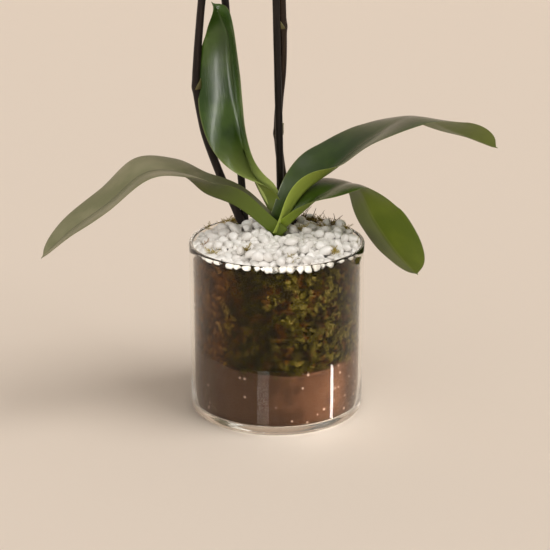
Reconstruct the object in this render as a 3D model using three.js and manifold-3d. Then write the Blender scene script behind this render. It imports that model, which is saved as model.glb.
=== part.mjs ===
// Potted orchid: a moth orchid planted in a clear glass cylinder vase.
// Millimetres, +Z up. The origin is the centre of the vase's underside; the front of the plant is -Y.
// All heights on the plant are measured from the rim of the vase, so a taller vase lifts the plant.

import * as THREE from "three";
import { mergeVertices } from "three/addons/utils/BufferGeometryUtils.js";
import Module from "manifold-3d";

const wasm = await Module();
wasm.setup();

// ---- Driving sizes -------------------------------------------------------------------------

const VASE_DIAMETER = 150;
const VASE_HEIGHT = 150;
const VASE_WALL = 3.2;
const VASE_FOOT = 9; // clear thick foot under the filling
const VASE_CORNER = 4; // outer radius where the wall meets the underside
const SEGMENTS = 48; // around everything that shares the vase's round wall
const GAP = 0.3; // clearance between any two neighbouring pieces

const SOIL_TOP = 60;
const TOPPING_DEPTH = 8; // from the rim down to the top of the moss
const TOPPING_MOUND = 4; // how much the pebbles rise towards the crown
const PEBBLE = 9; // typical pebble diameter
const ROOT_BALL_RADIUS = 44;
const ROOT_BALL_BOTTOM = 74;

const CROWN_CENTRE = [0, 6];
const CROWN_RADIUS = 8;
const LEAF_THICKNESS = 1.9;
const SPIKE_DIAMETER = 5;
const SPIKE_STEPS = 44;
const STAKE_DIAMETER = 6;
const STAKE_TOP = 372; // above the rim
const STAKE_FOOT = -82;
const CLIP_HEIGHT = 350; // above the rim, where each spike is clipped to its stake
const CLIP_WALL = 1.6;
const CLIP_WIDTH = 7;
const FLOWER_SPAN = 78;

// ---- Materials -----------------------------------------------------------------------------

const material = (color, roughness, extra = {}) =>
  new THREE.MeshStandardMaterial({ color, roughness, metalness: 0, ...extra });

const GLASS = material("#e9efe9", 0.05, { transparent: true, opacity: 0.3 });
const SOIL = material("#4a3024", 0.95);
const MOSS = material("#5c5a2a", 1);
const ROOTS = material("#8f8a66", 0.9);
const PEBBLES = material("#f1eee8", 0.45);
const STEM = material("#5f6f2c", 0.6);
const LEAF = material("#48622f", 0.35);
const SPIKE = material("#33231f", 0.55);
const STAKE = material("#241c18", 0.6);
const CLIP = material("#3f5a35", 0.5);
const PETAL = material("#d88fb9", 0.6);
const LIP = material("#8c1f5c", 0.5);
const BUD = material("#b9879b", 0.6);

// ---- Solids --------------------------------------------------------------------------------

/** Turns a closed geometry into a manifold solid. */
function solid(geometry) {
  const plain = geometry.clone();
  plain.deleteAttribute("normal");
  plain.deleteAttribute("uv");
  const joined = mergeVertices(plain, 1e-4);
  const mesh = new wasm.Mesh({
    numProp: 3,
    vertProperties: new Float32Array(joined.attributes.position.array),
    triVerts: new Uint32Array(joined.index.array),
  });
  return new wasm.Manifold(mesh);
}

/** Turns a manifold solid back into a geometry, keeping only its largest body. */
function geometryOf(body) {
  const bodies = body.decompose().sort((a, b) => b.volume() - a.volume());
  const mesh = bodies[0].getMesh();
  const geometry = new THREE.BufferGeometry();
  geometry.setAttribute("position", new THREE.BufferAttribute(mesh.vertProperties, 3));
  geometry.setIndex(new THREE.BufferAttribute(mesh.triVerts, 1));
  return geometry;
}

/** Six times the signed volume that a triangle list encloses. */
function signedVolume(points, faces) {
  let total = 0;
  for (let i = 0; i < faces.length; i += 3) {
    const [a, b, c] = [points[faces[i]], points[faces[i + 1]], points[faces[i + 2]]];
    total += a.dot(new THREE.Vector3().crossVectors(b, c));
  }
  return total;
}

/** Skins a row of equal closed rings and closes both ends. Faces always point outwards. */
function skin(rings) {
  const count = rings[0].length;
  const last = (rings.length - 1) * count;
  const points = rings.flat();
  const faces = [];
  const quad = (a, b, c, d) => faces.push(a, b, c, a, c, d);
  for (let row = 0; row < last; row += count) {
    for (let i = 0; i < count; i++) {
      const j = (i + 1) % count;
      quad(row + i, row + j, row + count + j, row + count + i);
    }
  }
  for (let i = 0; i < count / 2 - 1; i++) {
    const k = count - 1 - i;
    quad(k, k - 1, i + 1, i);
    quad(last + i, last + i + 1, last + k - 1, last + k);
  }
  if (signedVolume(points, faces) < 0) faces.reverse();
  const geometry = new THREE.BufferGeometry();
  const flat = new Float32Array(points.flatMap((p) => [p.x, p.y, p.z]));
  geometry.setAttribute("position", new THREE.BufferAttribute(flat, 3));
  geometry.setIndex(faces);
  return geometry;
}

/** A solid of revolution about +Z from [radius, height] pairs that start and end on the axis. */
function turned(profile, segments = SEGMENTS) {
  const lathe = new THREE.LatheGeometry(profile.map(([r, z]) => new THREE.Vector2(r, z)), segments);
  return lathe.rotateX(Math.PI / 2);
}

/** Points on an arc, in a turned profile. Angles in degrees. */
function arc(r, z, radius, from, to, steps) {
  return Array.from({ length: steps + 1 }, (_, i) => {
    const angle = THREE.MathUtils.degToRad(from + ((to - from) * i) / steps);
    return [r + radius * Math.cos(angle), z + radius * Math.sin(angle)];
  });
}

/** A smooth curve through [x, y, height above the rim] points. */
function plantCurve(points) {
  const lifted = points.map(([x, y, z]) => new THREE.Vector3(x, y, z + VASE_HEIGHT));
  return new THREE.CatmullRomCurve3(lifted, false, "catmullrom", 0.5);
}

/** A round rod of constant radius along a curve. */
function rod(path, radius, steps, sides) {
  const round = new THREE.Shape();
  round.absarc(0, 0, radius, 0, 2 * Math.PI);
  return new THREE.ExtrudeGeometry(round, {
    extrudePath: path, steps, curveSegments: sides / 2, bevelEnabled: false,
  });
}

/** A round stem along a curve, with a radius that changes along it. */
function stem(curve, radiusAt, steps, sides = 6) {
  const frames = curve.computeFrenetFrames(steps, false);
  const rings = Array.from({ length: steps + 1 }, (_, i) => {
    const centre = curve.getPointAt(i / steps);
    return Array.from({ length: sides }, (_, k) => {
      const angle = (2 * Math.PI * k) / sides;
      return centre.clone()
        .addScaledVector(frames.normals[i], radiusAt(i / steps) * Math.cos(angle))
        .addScaledVector(frames.binormals[i], radiusAt(i / steps) * Math.sin(angle));
    });
  });
  return skin(rings);
}

// ---- Vase and filling ----------------------------------------------------------------------

const OUTER = VASE_DIAMETER / 2;
const INNER = OUTER - VASE_WALL;
const FILL = INNER - GAP;
const MOSS_TOP = VASE_HEIGHT - TOPPING_DEPTH;
const INSIDE_CORNER = 3;

function vase() {
  const lip = VASE_WALL / 2;
  return turned([
    [0, 0],
    ...arc(OUTER - VASE_CORNER, VASE_CORNER, VASE_CORNER, -90, 0, 3),
    ...arc(OUTER - lip, VASE_HEIGHT - lip, lip, 0, 180, 4),
    ...arc(INNER - INSIDE_CORNER, VASE_FOOT + INSIDE_CORNER, INSIDE_CORNER, 0, -90, 2),
    [0, VASE_FOOT],
  ]);
}

function soil() {
  const bottom = VASE_FOOT + GAP;
  return turned([
    [0, bottom],
    ...arc(FILL - INSIDE_CORNER, bottom + INSIDE_CORNER, INSIDE_CORNER, -90, 0, 2),
    [FILL, SOIL_TOP],
    [0, SOIL_TOP],
  ]);
}

function rootBall(grow = 0, top = MOSS_TOP) {
  const round = 14;
  const radius = ROOT_BALL_RADIUS + grow;
  const bottom = ROOT_BALL_BOTTOM - grow;
  return turned([
    [0, bottom],
    ...arc(radius - round, bottom + round, round, -90, 0, 3),
    [radius, top],
    [0, top],
  ], SEGMENTS / 2);
}

function moss() {
  return turned([
    [0, SOIL_TOP + GAP],
    [FILL, SOIL_TOP + GAP],
    [FILL, MOSS_TOP],
    [0, MOSS_TOP],
  ]);
}

/** Height of the pebble tops above the mounded layer: rounded lumps, one pebble apart. */
function pebbleLump(x, y) {
  const wave = (u, v) => Math.cos((2 * Math.PI * u) / PEBBLE) * Math.cos((2 * Math.PI * v) / PEBBLE);
  return 1.1 * wave(x * 0.72 + y * 0.31, y * 0.66 - x * 0.27) + 0.5 * wave(y * 0.4, x * 0.5);
}

/** The pebbles as one layer with a lumpy, mounded top. */
function topping() {
  const bottom = MOSS_TOP + GAP;
  const rows = 8;
  const points = [new THREE.Vector3(0, 0, bottom), new THREE.Vector3(0, 0, VASE_HEIGHT + TOPPING_MOUND)];
  for (let row = 0; row <= rows; row++) {
    const radius = FILL * Math.min(1, (row + 1) / rows);
    for (let i = 0; i < SEGMENTS; i++) {
      const angle = (2 * Math.PI * i) / SEGMENTS;
      const [x, y] = [radius * Math.sin(angle), radius * Math.cos(angle)];
      const mound = VASE_HEIGHT + TOPPING_MOUND * (1 - (radius / FILL) ** 2);
      points.push(new THREE.Vector3(x, y, row === rows ? bottom : mound + pebbleLump(x, y)));
    }
  }
  const faces = [];
  const at = (row, i) => 2 + row * SEGMENTS + (i % SEGMENTS);
  for (let i = 0; i < SEGMENTS; i++) {
    faces.push(1, at(0, i + 1), at(0, i), 0, at(rows, i), at(rows, i + 1));
    for (let row = 0; row < rows; row++) {
      const [a, b, c, d] = [at(row, i), at(row, i + 1), at(row + 1, i + 1), at(row + 1, i)];
      faces.push(a, b, c, a, c, d);
    }
  }
  const geometry = new THREE.BufferGeometry();
  const flat = new Float32Array(points.flatMap((p) => [p.x, p.y, p.z]));
  geometry.setAttribute("position", new THREE.BufferAttribute(flat, 3));
  geometry.setIndex(faces);
  return geometry;
}

// ---- Leaves --------------------------------------------------------------------------------

// Each stop along a midrib: position above the rim, the way the upper side faces, fold in degrees.
const LEAVES = {
  leaf_left: {
    width: 63, neck: 0.43, widest: 0.58, tip: [2.3, 1.66],
    stops: [
      [[-4, 7, 5], [-0.3, 0, 0.95], 72],
      [[-32, -1, 29], [-0.2, -0.1, 1], 66],
      [[-60, -8, 45], [0, 0, 1], 38],
      [[-80, -15, 68], [-0.1, -0.1, 1], 4],
      [[-109, -25, 71], [-0.25, -0.1, 0.95], 0],
      [[-139, -33, 45], [-0.55, -0.15, 0.8], 2],
      [[-169, -37, 20], [-0.7, -0.2, 0.7], 4],
      [[-195, -45, -2], [-0.7, -0.3, 0.65], 14],
    ],
  },
  leaf_upright: {
    width: 65, neck: 0.43, widest: 0.54, tip: [1.9, 1.8],
    stops: [
      [[-5, 8, 24], [0.8, 0.25, 0.4], 82],
      [[-22, 13, 50], [0.1, -0.65, 0.45], 73],
      [[-28, 15, 82], [-0.55, -0.8, 0.25], 51],
      [[-33, 20, 112], [-0.7, -0.75, 0.1], 39],
      [[-37, 25, 141], [-0.7, -0.75, 0], 34],
      [[-41, 25, 174], [-0.5, -0.6, -0.15], 34],
      [[-54, 23, 199], [0.6, 0, -0.35], 36],
    ],
  },
  leaf_upper_right: {
    width: 72, neck: 0.4, widest: 0.4, tip: [2.75, 1.9],
    stops: [
      [[1, 5, 5], [0.15, -0.35, 0.95], 69],
      [[22, 8, 39], [-0.25, -0.2, 0.9], 58],
      [[51, 14, 61], [-0.35, -0.15, 0.9], 23],
      [[80, 17, 84], [-0.2, 0, 1], 9],
      [[116, 25, 101], [0, 0.15, 1], -5],
      [[152, 33, 87], [0.15, 0.4, 0.9], 8],
      [[190, 34, 72], [0.4, 0.55, 0.7], 29],
    ],
  },
  leaf_lower_right: {
    width: 67, neck: 0.36, widest: 0.61, tip: [2.9, 2.05],
    stops: [
      [[4, 3, 7], [0.05, -0.05, 1], 65],
      [[21, 5, 23], [-0.1, -0.1, 1], 46],
      [[39, 9, 37], [-0.05, -0.15, 0.95], 16],
      [[67, 19, 43], [0.25, 0.25, 0.85], -2],
      [[84, 17, 13], [0.6, 0.65, 0.35], 7],
      [[99, 0, -11], [0.75, 0.6, 0.2], 11],
      [[115, 6, -33], [0.75, 0.65, 0.2], 8],
    ],
  },
};

const CREASE = 0.12; // how sharply the two halves of a leaf meet, as a share of half its width

/** Half the width of a leaf at t, from its narrow neck to its rounded tip. */
function leafHalfWidth({ width, neck, widest, tip: [fall, round] }, t) {
  const grow = neck + (1 - neck) * THREE.MathUtils.smoothstep((t - 0.04) / (widest - 0.04), 0, 1);
  const past = THREE.MathUtils.clamp((t - widest) / (1 - widest), 0, 1);
  return Math.max(1.2, (width / 2) * grow * (1 - past ** fall) ** (1 / round));
}

/** A leaf as a closed thin solid. A positive grow gives the room it needs in its neighbours. */
function leaf(spec, grow = 0) {
  const steps = 20;
  const across = [-1, -0.65, -0.3, 0, 0.3, 0.65, 1];
  const spine = plantCurve(spec.stops.map(([at]) => at));
  const facing = new THREE.CatmullRomCurve3(
    spec.stops.map(([, face]) => new THREE.Vector3(...face)), false, "catmullrom", 0.5);
  const folding = new THREE.CatmullRomCurve3(
    spec.stops.map(([, , fold]) => new THREE.Vector3(fold, 0, 0)), false, "catmullrom", 0.5);
  const rings = [];
  for (let i = 0; i <= steps; i++) {
    const t = i / steps;
    const u = spine.getUtoTmapping(t);
    const along = spine.getTangent(u);
    const face = facing.getPoint(u).projectOnPlane(along).normalize();
    const side = new THREE.Vector3().crossVectors(along, face);
    const fold = THREE.MathUtils.degToRad(folding.getPoint(u).x);
    const half = leafHalfWidth(spec, t) + grow;
    const crest = Math.sqrt(1 + CREASE ** 2) - CREASE;
    const section = across.map((s) => {
      const out = half * s * Math.cos(fold);
      const lift = (half * (Math.sqrt(s * s + CREASE ** 2) - CREASE) * Math.sin(fold)) / crest;
      const slope = (Math.sin(fold) * s) / Math.sqrt(s * s + CREASE ** 2) / crest;
      const normal = face.clone().multiplyScalar(Math.cos(fold)).addScaledVector(side, -slope).normalize();
      const at = spine.getPoint(u).addScaledVector(side, out).addScaledVector(face, lift);
      const thick = (LEAF_THICKNESS / 2) * (1 - 0.45 * Math.abs(s)) + grow;
      return [at.clone().addScaledVector(normal, thick), at.addScaledVector(normal, -thick)];
    });
    const upper = section.map(([top]) => top);
    const lower = section.map(([, bottom]) => bottom).reverse();
    rings.push([...upper, ...lower]);
  }
  return skin(rings);
}

// ---- Stems, stakes and clips ---------------------------------------------------------------

const SPIKES = {
  left: [
    [-9, 13, -4], [-21, 21, -4], [-31, 25, 4], [-40, 29, 23], [-51, 29, 50], [-60, 29, 80],
    [-65, 29, 99], [-70, 28, 127], [-69, 28, 150], [-66, 27, 183], [-63, 27, 215], [-61, 31, 260],
    [-60, 34, 305], [-61, 35, 350], [-67, 30, 396], [-84, 22, 440], [-115, 12, 472],
    [-152, 4, 482], [-190, -2, 468], [-222, -6, 432],
  ],
  right: [
    [5, 14, -4], [12, 23, -4], [14, 32, 4], [9, 36, 30], [4, 34, 55], [1, 32.5, 85], [2, 31.5, 112],
    [5, 28.5, 140], [6, 25.4, 168], [5.4, 23.8, 201], [4.2, 21, 260], [3, 19, 305],
    [2, 16.5, 350], [8, 9, 396], [28, -3, 438], [62, -11, 468], [100, -18, 476], [138, -24, 462], [170, -29, 428],
  ],
};

// Where each stake stands: its place at the rim and how far it leans for each millimetre of height.
const STAKES = {
  left: { foot: [-27, 32], lean: [-0.081, 0.012] },
  right: { foot: [4, 29.5], lean: [-0.0225, -0.0465] },
};

/** The stake's axis point at a height above the rim. */
function stakeAt({ foot, lean }, height) {
  return [foot[0] + lean[0] * height, foot[1] + lean[1] * height, height];
}

function stake(spec, grow = 0) {
  const line = plantCurve([stakeAt(spec, STAKE_FOOT - grow), stakeAt(spec, STAKE_TOP)]);
  return rod(line, STAKE_DIAMETER / 2 + grow, 1, 10);
}

/** The spike thins towards its tip and swells a little at each node. */
function spikeRadius(t) {
  const taper = (SPIKE_DIAMETER / 2) * (1.06 - 0.5 * t ** 1.5);
  const node = Math.max(0, Math.cos(2 * Math.PI * 7 * t)) ** 12;
  return taper * (1 + 0.08 * node);
}

/** A clip: an oval band around the spike and its stake. */
function clip(spikeCurve, spec) {
  const centre = new THREE.Vector3(...stakeAt(spec, CLIP_HEIGHT + VASE_HEIGHT));
  const nearest = spikeCurve.getSpacedPoints(300)
    .reduce((best, p) => (Math.abs(p.z - centre.z) < Math.abs(best.z - centre.z) ? p : best));
  const [sx, sy] = stakeAt(spec, CLIP_HEIGHT);
  const [dx, dy] = [nearest.x - sx, nearest.y - sy];
  const span = Math.hypot(dx, dy);
  const oval = (radius) => {
    const outline = new THREE.Shape();
    outline.absarc(span / 2, 0, radius, -Math.PI / 2, Math.PI / 2);
    outline.absarc(-span / 2, 0, radius, Math.PI / 2, (3 * Math.PI) / 2);
    return outline;
  };
  const inside = STAKE_DIAMETER / 2 + 1;
  const band = oval(inside + CLIP_WALL);
  band.holes.push(oval(inside));
  const geometry = new THREE.ExtrudeGeometry(band, { depth: CLIP_WIDTH, bevelEnabled: false, curveSegments: 6 });
  return geometry
    .translate(0, 0, -CLIP_WIDTH / 2)
    .rotateZ(Math.atan2(dy, dx))
    .translate(sx + dx / 2, sy + dy / 2, centre.z);
}

// ---- Flowers -------------------------------------------------------------------------------

// Where the flowers stand: share of the spike's length, reach above or below it, reach forwards.
const BLOOMS = [
  [0.74, 26, 17], [0.795, -24, 34], [0.85, 26, 17], [0.912, -22, 24],
];
const BUDS = [[0.945, 14, 9], [0.97, -12, 6], [0.992, 9, 6]];

/** A petal in the flower's own frame: +Y along it, +Z towards the viewer. */
function petal(length, width, thickness, angle, back) {
  const rings = [0, 0.35, 0.75, 1].map((t) => {
    const half = Math.max(1.5, (width / 2) * Math.sin(Math.PI * (0.1 + 0.84 * t) ** 0.9));
    const y = 3 + (length - 3) * t;
    const z = back * Math.sin(Math.PI * 0.75 * t);
    const row = [-1, 0, 1].map((s) => new THREE.Vector3(s * half, y, z - 2.2 * s * s));
    const behind = row.map((p) => p.clone().setZ(p.z - thickness)).reverse();
    return [...row, ...behind];
  });
  return skin(rings).rotateZ(THREE.MathUtils.degToRad(angle));
}

/** Three narrow sepals behind two broad petals, and the column between them. */
function flowerBody() {
  const span = FLOWER_SPAN / 2;
  const parts = [
    petal(span * 0.95, span * 0.66, 1.2, 0, 1),
    petal(span * 0.92, span * 0.62, 1.2, 128, 1),
    petal(span * 0.92, span * 0.62, 1.2, -128, 1),
    petal(span, span * 1.02, 1.2, 74, 3.4),
    petal(span, span * 1.02, 1.2, -74, 3.4),
    new THREE.SphereGeometry(5, 6, 4).scale(0.8, 1, 1),
  ];
  return parts.map(solid).reduce((all, part) => all.add(part));
}

/** The lip: a small three-lobed tongue in front of the column. */
function flowerLip() {
  const lobe = (x, y, z, sx, sy, sz) => new THREE.SphereGeometry(1, 6, 4).scale(sx, sy, sz).translate(x, y, z);
  const parts = [lobe(0, -9, 9, 5.5, 8, 2.4), lobe(-5, -5, 9, 3.4, 4.5, 3), lobe(5, -5, 9, 3.4, 4.5, 3)];
  return parts.map(solid).reduce((all, part) => all.add(part));
}

/** Base, end and facing of the short stalk that leaves a spike at a share of its length. */
function stalkAt(curve, [share, reach, forward], outward) {
  const base = curve.getPointAt(share);
  const along = curve.getTangentAt(share);
  const front = new THREE.Vector3(-along.y, along.x, -0.12).normalize();
  if (front.y > 0) front.set(along.y, -along.x, -0.12).normalize();
  const across = new THREE.Vector3().crossVectors(along, front).normalize().multiplyScalar(-outward);
  const end = base.clone().addScaledVector(across, reach).addScaledVector(front, forward);
  return { base, end, front };
}

/** Matrix that stands a flower at a stalk's end, upright and facing the front. */
function flowerPlace({ end, front }) {
  const right = new THREE.Vector3().crossVectors(new THREE.Vector3(0, 0, 1), front).normalize();
  const up = new THREE.Vector3().crossVectors(front, right);
  return new THREE.Matrix4().makeBasis(right, up, front).setPosition(end);
}

/** The short curved stalk of a flower or a bud. */
function stalk({ base, end, front }, radius, gap) {
  const behind = end.clone().addScaledVector(front, -9).lerp(base, 0.12);
  const middle = base.clone().lerp(behind, 0.5).addScaledVector(front, -1.5);
  const stop = end.clone().addScaledVector(front, -gap);
  const line = new THREE.CatmullRomCurve3([base, middle, behind, stop], false, "catmullrom", 0.5);
  return rod(line, radius, 3, 6);
}

// ---- Assembly ------------------------------------------------------------------------------

const group = new THREE.Group();
group.name = "potted_orchid";

function addPart(name, geometry, finish) {
  const plain = geometry.index ? geometry : mergeVertices(geometry);
  plain.computeVertexNormals();
  const mesh = new THREE.Mesh(plain, finish);
  mesh.name = name;
  group.add(mesh);
}

/** Cuts every tool out of a body. */
const cut = (body, tools) => tools.reduce((rest, tool) => rest.subtract(tool), body);

// Crown and leaves: the youngest leaf keeps its whole base and the older ones fit round it.
const crown = (grow = 0) => {
  const [x, y] = CROWN_CENTRE;
  const top = 14;
  const profile = [
    [0, MOSS_TOP + GAP - grow],
    [CROWN_RADIUS + grow, MOSS_TOP + GAP - grow],
    [CROWN_RADIUS * 0.8 + grow, VASE_HEIGHT + top * 0.6],
    [0, VASE_HEIGHT + top + grow],
  ];
  return turned(profile, 16).translate(x, y, 0);
};
addPart("crown_stem", crown(), STEM);

const leafOrder = ["leaf_upright", "leaf_upper_right", "leaf_left", "leaf_lower_right"];
const seated = [solid(crown(GAP))];
for (const name of leafOrder) {
  addPart(name, geometryOf(cut(solid(leaf(LEAVES[name])), seated)), LEAF);
  seated.push(solid(leaf(LEAVES[name], GAP)));
}

// Stakes, spikes with their flower stalks, clips, flowers and buds.
const inFilling = [...seated];
for (const [side, path] of Object.entries(SPIKES)) {
  const outward = side === "left" ? -1 : 1;
  const curve = plantCurve(path);
  const standing = STAKES[side];
  addPart(`stake_${side}`, stake(standing), STAKE);
  inFilling.push(solid(stake(standing, GAP)), solid(stem(curve, (t) => spikeRadius(t) + GAP, SPIKE_STEPS)));

  const blooms = BLOOMS.map((bloom) => stalkAt(curve, bloom, outward));
  const buds = BUDS.map((bud) => stalkAt(curve, bud, outward));
  const stalks = [
    ...blooms.map((place) => solid(stalk(place, 1.5, 5 + GAP))),
    ...buds.map((place) => solid(stalk(place, 1.2, 5.5 + GAP))),
  ];
  const spike = stalks.reduce((all, part) => all.add(part), solid(stem(curve, spikeRadius, SPIKE_STEPS)));
  addPart(`spike_${side}`, geometryOf(cut(spike, seated)), SPIKE);
  addPart(`clip_${side}`, clip(curve, standing), CLIP);
  blooms.forEach((place, i) => {
    const stand = flowerPlace(place);
    addPart(`flower_${side}_${i + 1}`, geometryOf(flowerBody()).applyMatrix4(stand), PETAL);
    addPart(`lip_${side}_${i + 1}`, geometryOf(flowerLip()).applyMatrix4(stand), LIP);
  });
  buds.forEach((place, i) => {
    const bud = new THREE.SphereGeometry(5.5 - i, 8, 6).scale(1, 1.25, 1);
    addPart(`bud_${side}_${i + 1}`, mergeVertices(bud.applyMatrix4(flowerPlace(place))), BUD);
  });
}

// Vase and filling, with room for everything planted in it.
addPart("glass_vase", vase(), GLASS);
addPart("soil_layer", soil(), SOIL);
addPart("root_ball", geometryOf(cut(solid(rootBall()), inFilling)), ROOTS);
const pit = solid(rootBall(GAP, MOSS_TOP + 5));
addPart("moss_layer", geometryOf(cut(solid(moss()), [pit, ...inFilling])), MOSS);
addPart("pebble_topping", geometryOf(cut(solid(topping()), inFilling)), PEBBLES);

export default group;
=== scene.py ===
"""A moth orchid planted in a clear glass cylinder vase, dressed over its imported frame.

Lengths are metres unless a name says millimetres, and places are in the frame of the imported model:
the origin is the centre of the vase's underside, +Z is up and -Y is the front of the plant.
"""
import logging
import math
from dataclasses import dataclass, field
from enum import Enum
from typing import Optional, Sequence, Union

import bpy
import numpy as np
from mathutils import Matrix, Vector


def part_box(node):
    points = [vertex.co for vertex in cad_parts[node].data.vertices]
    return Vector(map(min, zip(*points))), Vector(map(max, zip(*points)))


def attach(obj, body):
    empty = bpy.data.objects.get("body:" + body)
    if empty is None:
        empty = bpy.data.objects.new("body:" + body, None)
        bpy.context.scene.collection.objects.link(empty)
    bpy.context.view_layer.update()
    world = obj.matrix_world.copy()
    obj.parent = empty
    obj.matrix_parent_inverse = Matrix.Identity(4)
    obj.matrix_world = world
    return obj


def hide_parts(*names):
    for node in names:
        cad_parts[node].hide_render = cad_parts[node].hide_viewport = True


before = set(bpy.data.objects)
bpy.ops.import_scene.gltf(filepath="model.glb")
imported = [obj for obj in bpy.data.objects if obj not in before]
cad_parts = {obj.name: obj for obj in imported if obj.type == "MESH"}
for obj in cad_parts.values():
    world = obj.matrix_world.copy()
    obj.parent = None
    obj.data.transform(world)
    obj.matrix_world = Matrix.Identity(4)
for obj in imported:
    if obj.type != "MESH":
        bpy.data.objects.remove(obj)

log = logging.getLogger("orchid")

MM = 0.001
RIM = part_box("glass_vase")[1][2]
FINE = 800  # Steps of a smooth curve before its points are spaced evenly.
Colour = tuple[float, float, float]
Faces = list[tuple[int, ...]]
Piece = bpy.types.Object
Finish = bpy.types.Material


# ---- Shader trees ----


class Sock:
    """An output socket of a shader tree, on which plain arithmetic adds Math nodes."""

    def __init__(self, shader: "Shader", socket: bpy.types.NodeSocket) -> None:
        """Wraps one socket of one shader."""
        self.shader = shader
        self.socket = socket

    def __add__(self, other: "Value") -> "Sock":
        """This plus other."""
        return self.shader.math("ADD", self, other)

    def __radd__(self, other: "Value") -> "Sock":
        """Other plus this."""
        return self.shader.math("ADD", other, self)

    def __sub__(self, other: "Value") -> "Sock":
        """This minus other."""
        return self.shader.math("SUBTRACT", self, other)

    def __rsub__(self, other: "Value") -> "Sock":
        """Other minus this."""
        return self.shader.math("SUBTRACT", other, self)

    def __mul__(self, other: "Value") -> "Sock":
        """This times other."""
        return self.shader.math("MULTIPLY", self, other)

    def __truediv__(self, other: "Value") -> "Sock":
        """This divided by other."""
        return self.shader.math("DIVIDE", self, other)


Value = Union[Sock, float, Sequence[float]]


class Shader:
    """A material's node tree."""

    def __init__(self, name: str) -> None:
        """Starts an empty tree.

        Args:
            name: The material's name.
        """
        self.material = bpy.data.materials.new(name)
        self.material.use_nodes = True
        self.tree = self.material.node_tree
        self.tree.nodes.clear()

    def node(self, kind: str, settings: Optional[dict] = None, inputs: Optional[dict] = None,
             out: Union[int, str] = 0) -> Sock:
        """Adds any node.

        Args:
            kind: The node's type.
            settings: Its properties, and a colour ramp's "stops", which are set first.
            inputs: Values or links by socket name or number.
            out: The output that is wanted.

        Returns:
            The wanted output.
        """
        made = self.tree.nodes.new(kind)
        for key, value in (settings or {}).items():
            if key == "stops":
                self._stops(made.color_ramp, value)
            else:
                setattr(made, key, value)
        for key, value in (inputs or {}).items():
            if isinstance(value, Sock):
                self.tree.links.new(value.socket, made.inputs[key])
            else:
                made.inputs[key].default_value = value
        return Sock(self, made.outputs[out])

    @staticmethod
    def _stops(ramp: bpy.types.ColorRamp, stops: Sequence[tuple[float, Colour]]) -> None:
        """Sets a colour ramp's stops.

        Args:
            ramp: The ramp.
            stops: Each stop's place and colour.
        """
        while len(ramp.elements) < len(stops):
            ramp.elements.new(1.0)
        for element, (place, colour) in zip(ramp.elements, stops):
            element.position = place
            element.color = (*colour, 1.0)

    def math(self, operation: str, *values: Value) -> Sock:
        """One Math node on the values."""
        return self.node("ShaderNodeMath", {"operation": operation}, dict(enumerate(values)))

    def place(self) -> Sock:
        """The point's place in the model's frame."""
        return self.node("ShaderNodeTexCoord", out="Object")

    def axis(self, vector: Sock, axis: int) -> Sock:
        """One component of a vector."""
        return self.node("ShaderNodeSeparateXYZ", inputs={0: vector}, out=axis)

    def along(self) -> tuple[Sock, Sock]:
        """The two numbers of the piece's own surface map."""
        surface = self.node("ShaderNodeUVMap", {"uv_map": "surface"})
        return self.axis(surface, 0), self.axis(surface, 1)

    def attribute(self, name: str) -> Sock:
        """A number stored on the piece."""
        return self.node("ShaderNodeAttribute", {"attribute_name": name}, out="Fac")

    def vector(self, x: Value, y: Value, z: Value = 0.0) -> Sock:
        """A vector from three numbers."""
        return self.node("ShaderNodeCombineXYZ", inputs={0: x, 1: y, 2: z})

    def scaled(self, vector: Sock, by: Sequence[float]) -> Sock:
        """A vector with each component scaled."""
        return self.node("ShaderNodeVectorMath", {"operation": "MULTIPLY"}, {0: vector, 1: by})

    def noise(self, where: Sock, scale: float, detail: float = 3.0, rough: float = 0.55,
              twist: float = 0.0) -> Sock:
        """Noise from 0 to 1."""
        return self.node("ShaderNodeTexNoise", {"noise_dimensions": "3D"}, {
            "Vector": where, "Scale": scale, "Detail": detail, "Roughness": rough, "Distortion": twist})

    def cells(self, where: Sock, scale: float, out: str = "Distance") -> Sock:
        """A pattern of round cells: how far each point lies from a cell's middle, or another output."""
        return self.node("ShaderNodeTexVoronoi", {"feature": "F1"}, {"Vector": where, "Scale": scale}, out)

    def step(self, value: Value, low: float, high: float) -> Sock:
        """A smooth step from 0 at low to 1 at high."""
        return self.node("ShaderNodeMapRange", {"interpolation_type": "SMOOTHSTEP"},
                         {0: value, 1: low, 2: high, 3: 0.0, 4: 1.0})

    def fit(self, value: Value, low: float, high: float, to_low: float, to_high: float) -> Sock:
        """A value carried straight from one range to another."""
        return self.node("ShaderNodeMapRange", {"clamp": True},
                         {0: value, 1: low, 2: high, 3: to_low, 4: to_high})

    def mix(self, share: Value, first: Value, second: Value) -> Sock:
        """A mix of two colours."""
        inputs = {0: share, 6: rgba(first), 7: rgba(second)}
        return self.node("ShaderNodeMix", {"data_type": "RGBA"}, inputs, 2)

    def ramp(self, value: Sock, *stops: tuple[float, Colour]) -> Sock:
        """A colour that changes with a value."""
        return self.node("ShaderNodeValToRGB", {"stops": stops}, {0: value})

    def bump(self, height: Sock, strength: float, distance: float, under: Optional[Sock] = None) -> Sock:
        """Turns a height into a normal, over another bump if one is given.

        Args:
            height: The height.
            strength: How strongly it shows.
            distance: Its depth in metres.
            under: The other bump.

        Returns:
            The normal.
        """
        inputs = {"Height": height, "Strength": strength, "Distance": distance}
        if under is not None:
            inputs["Normal"] = under
        return self.node("ShaderNodeBump", inputs=inputs)

    def surface(self, **inputs: Value) -> Sock:
        """A Principled surface. Underscores in names stand for spaces.

        Args:
            inputs: Values or links by socket name.

        Returns:
            The surface.
        """
        named = {key.replace("_", " "): rgba(value) if "Color" in key or "Tint" in key else value
                 for key, value in inputs.items()}
        return self.node("ShaderNodeBsdfPrincipled", inputs=named)

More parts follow.
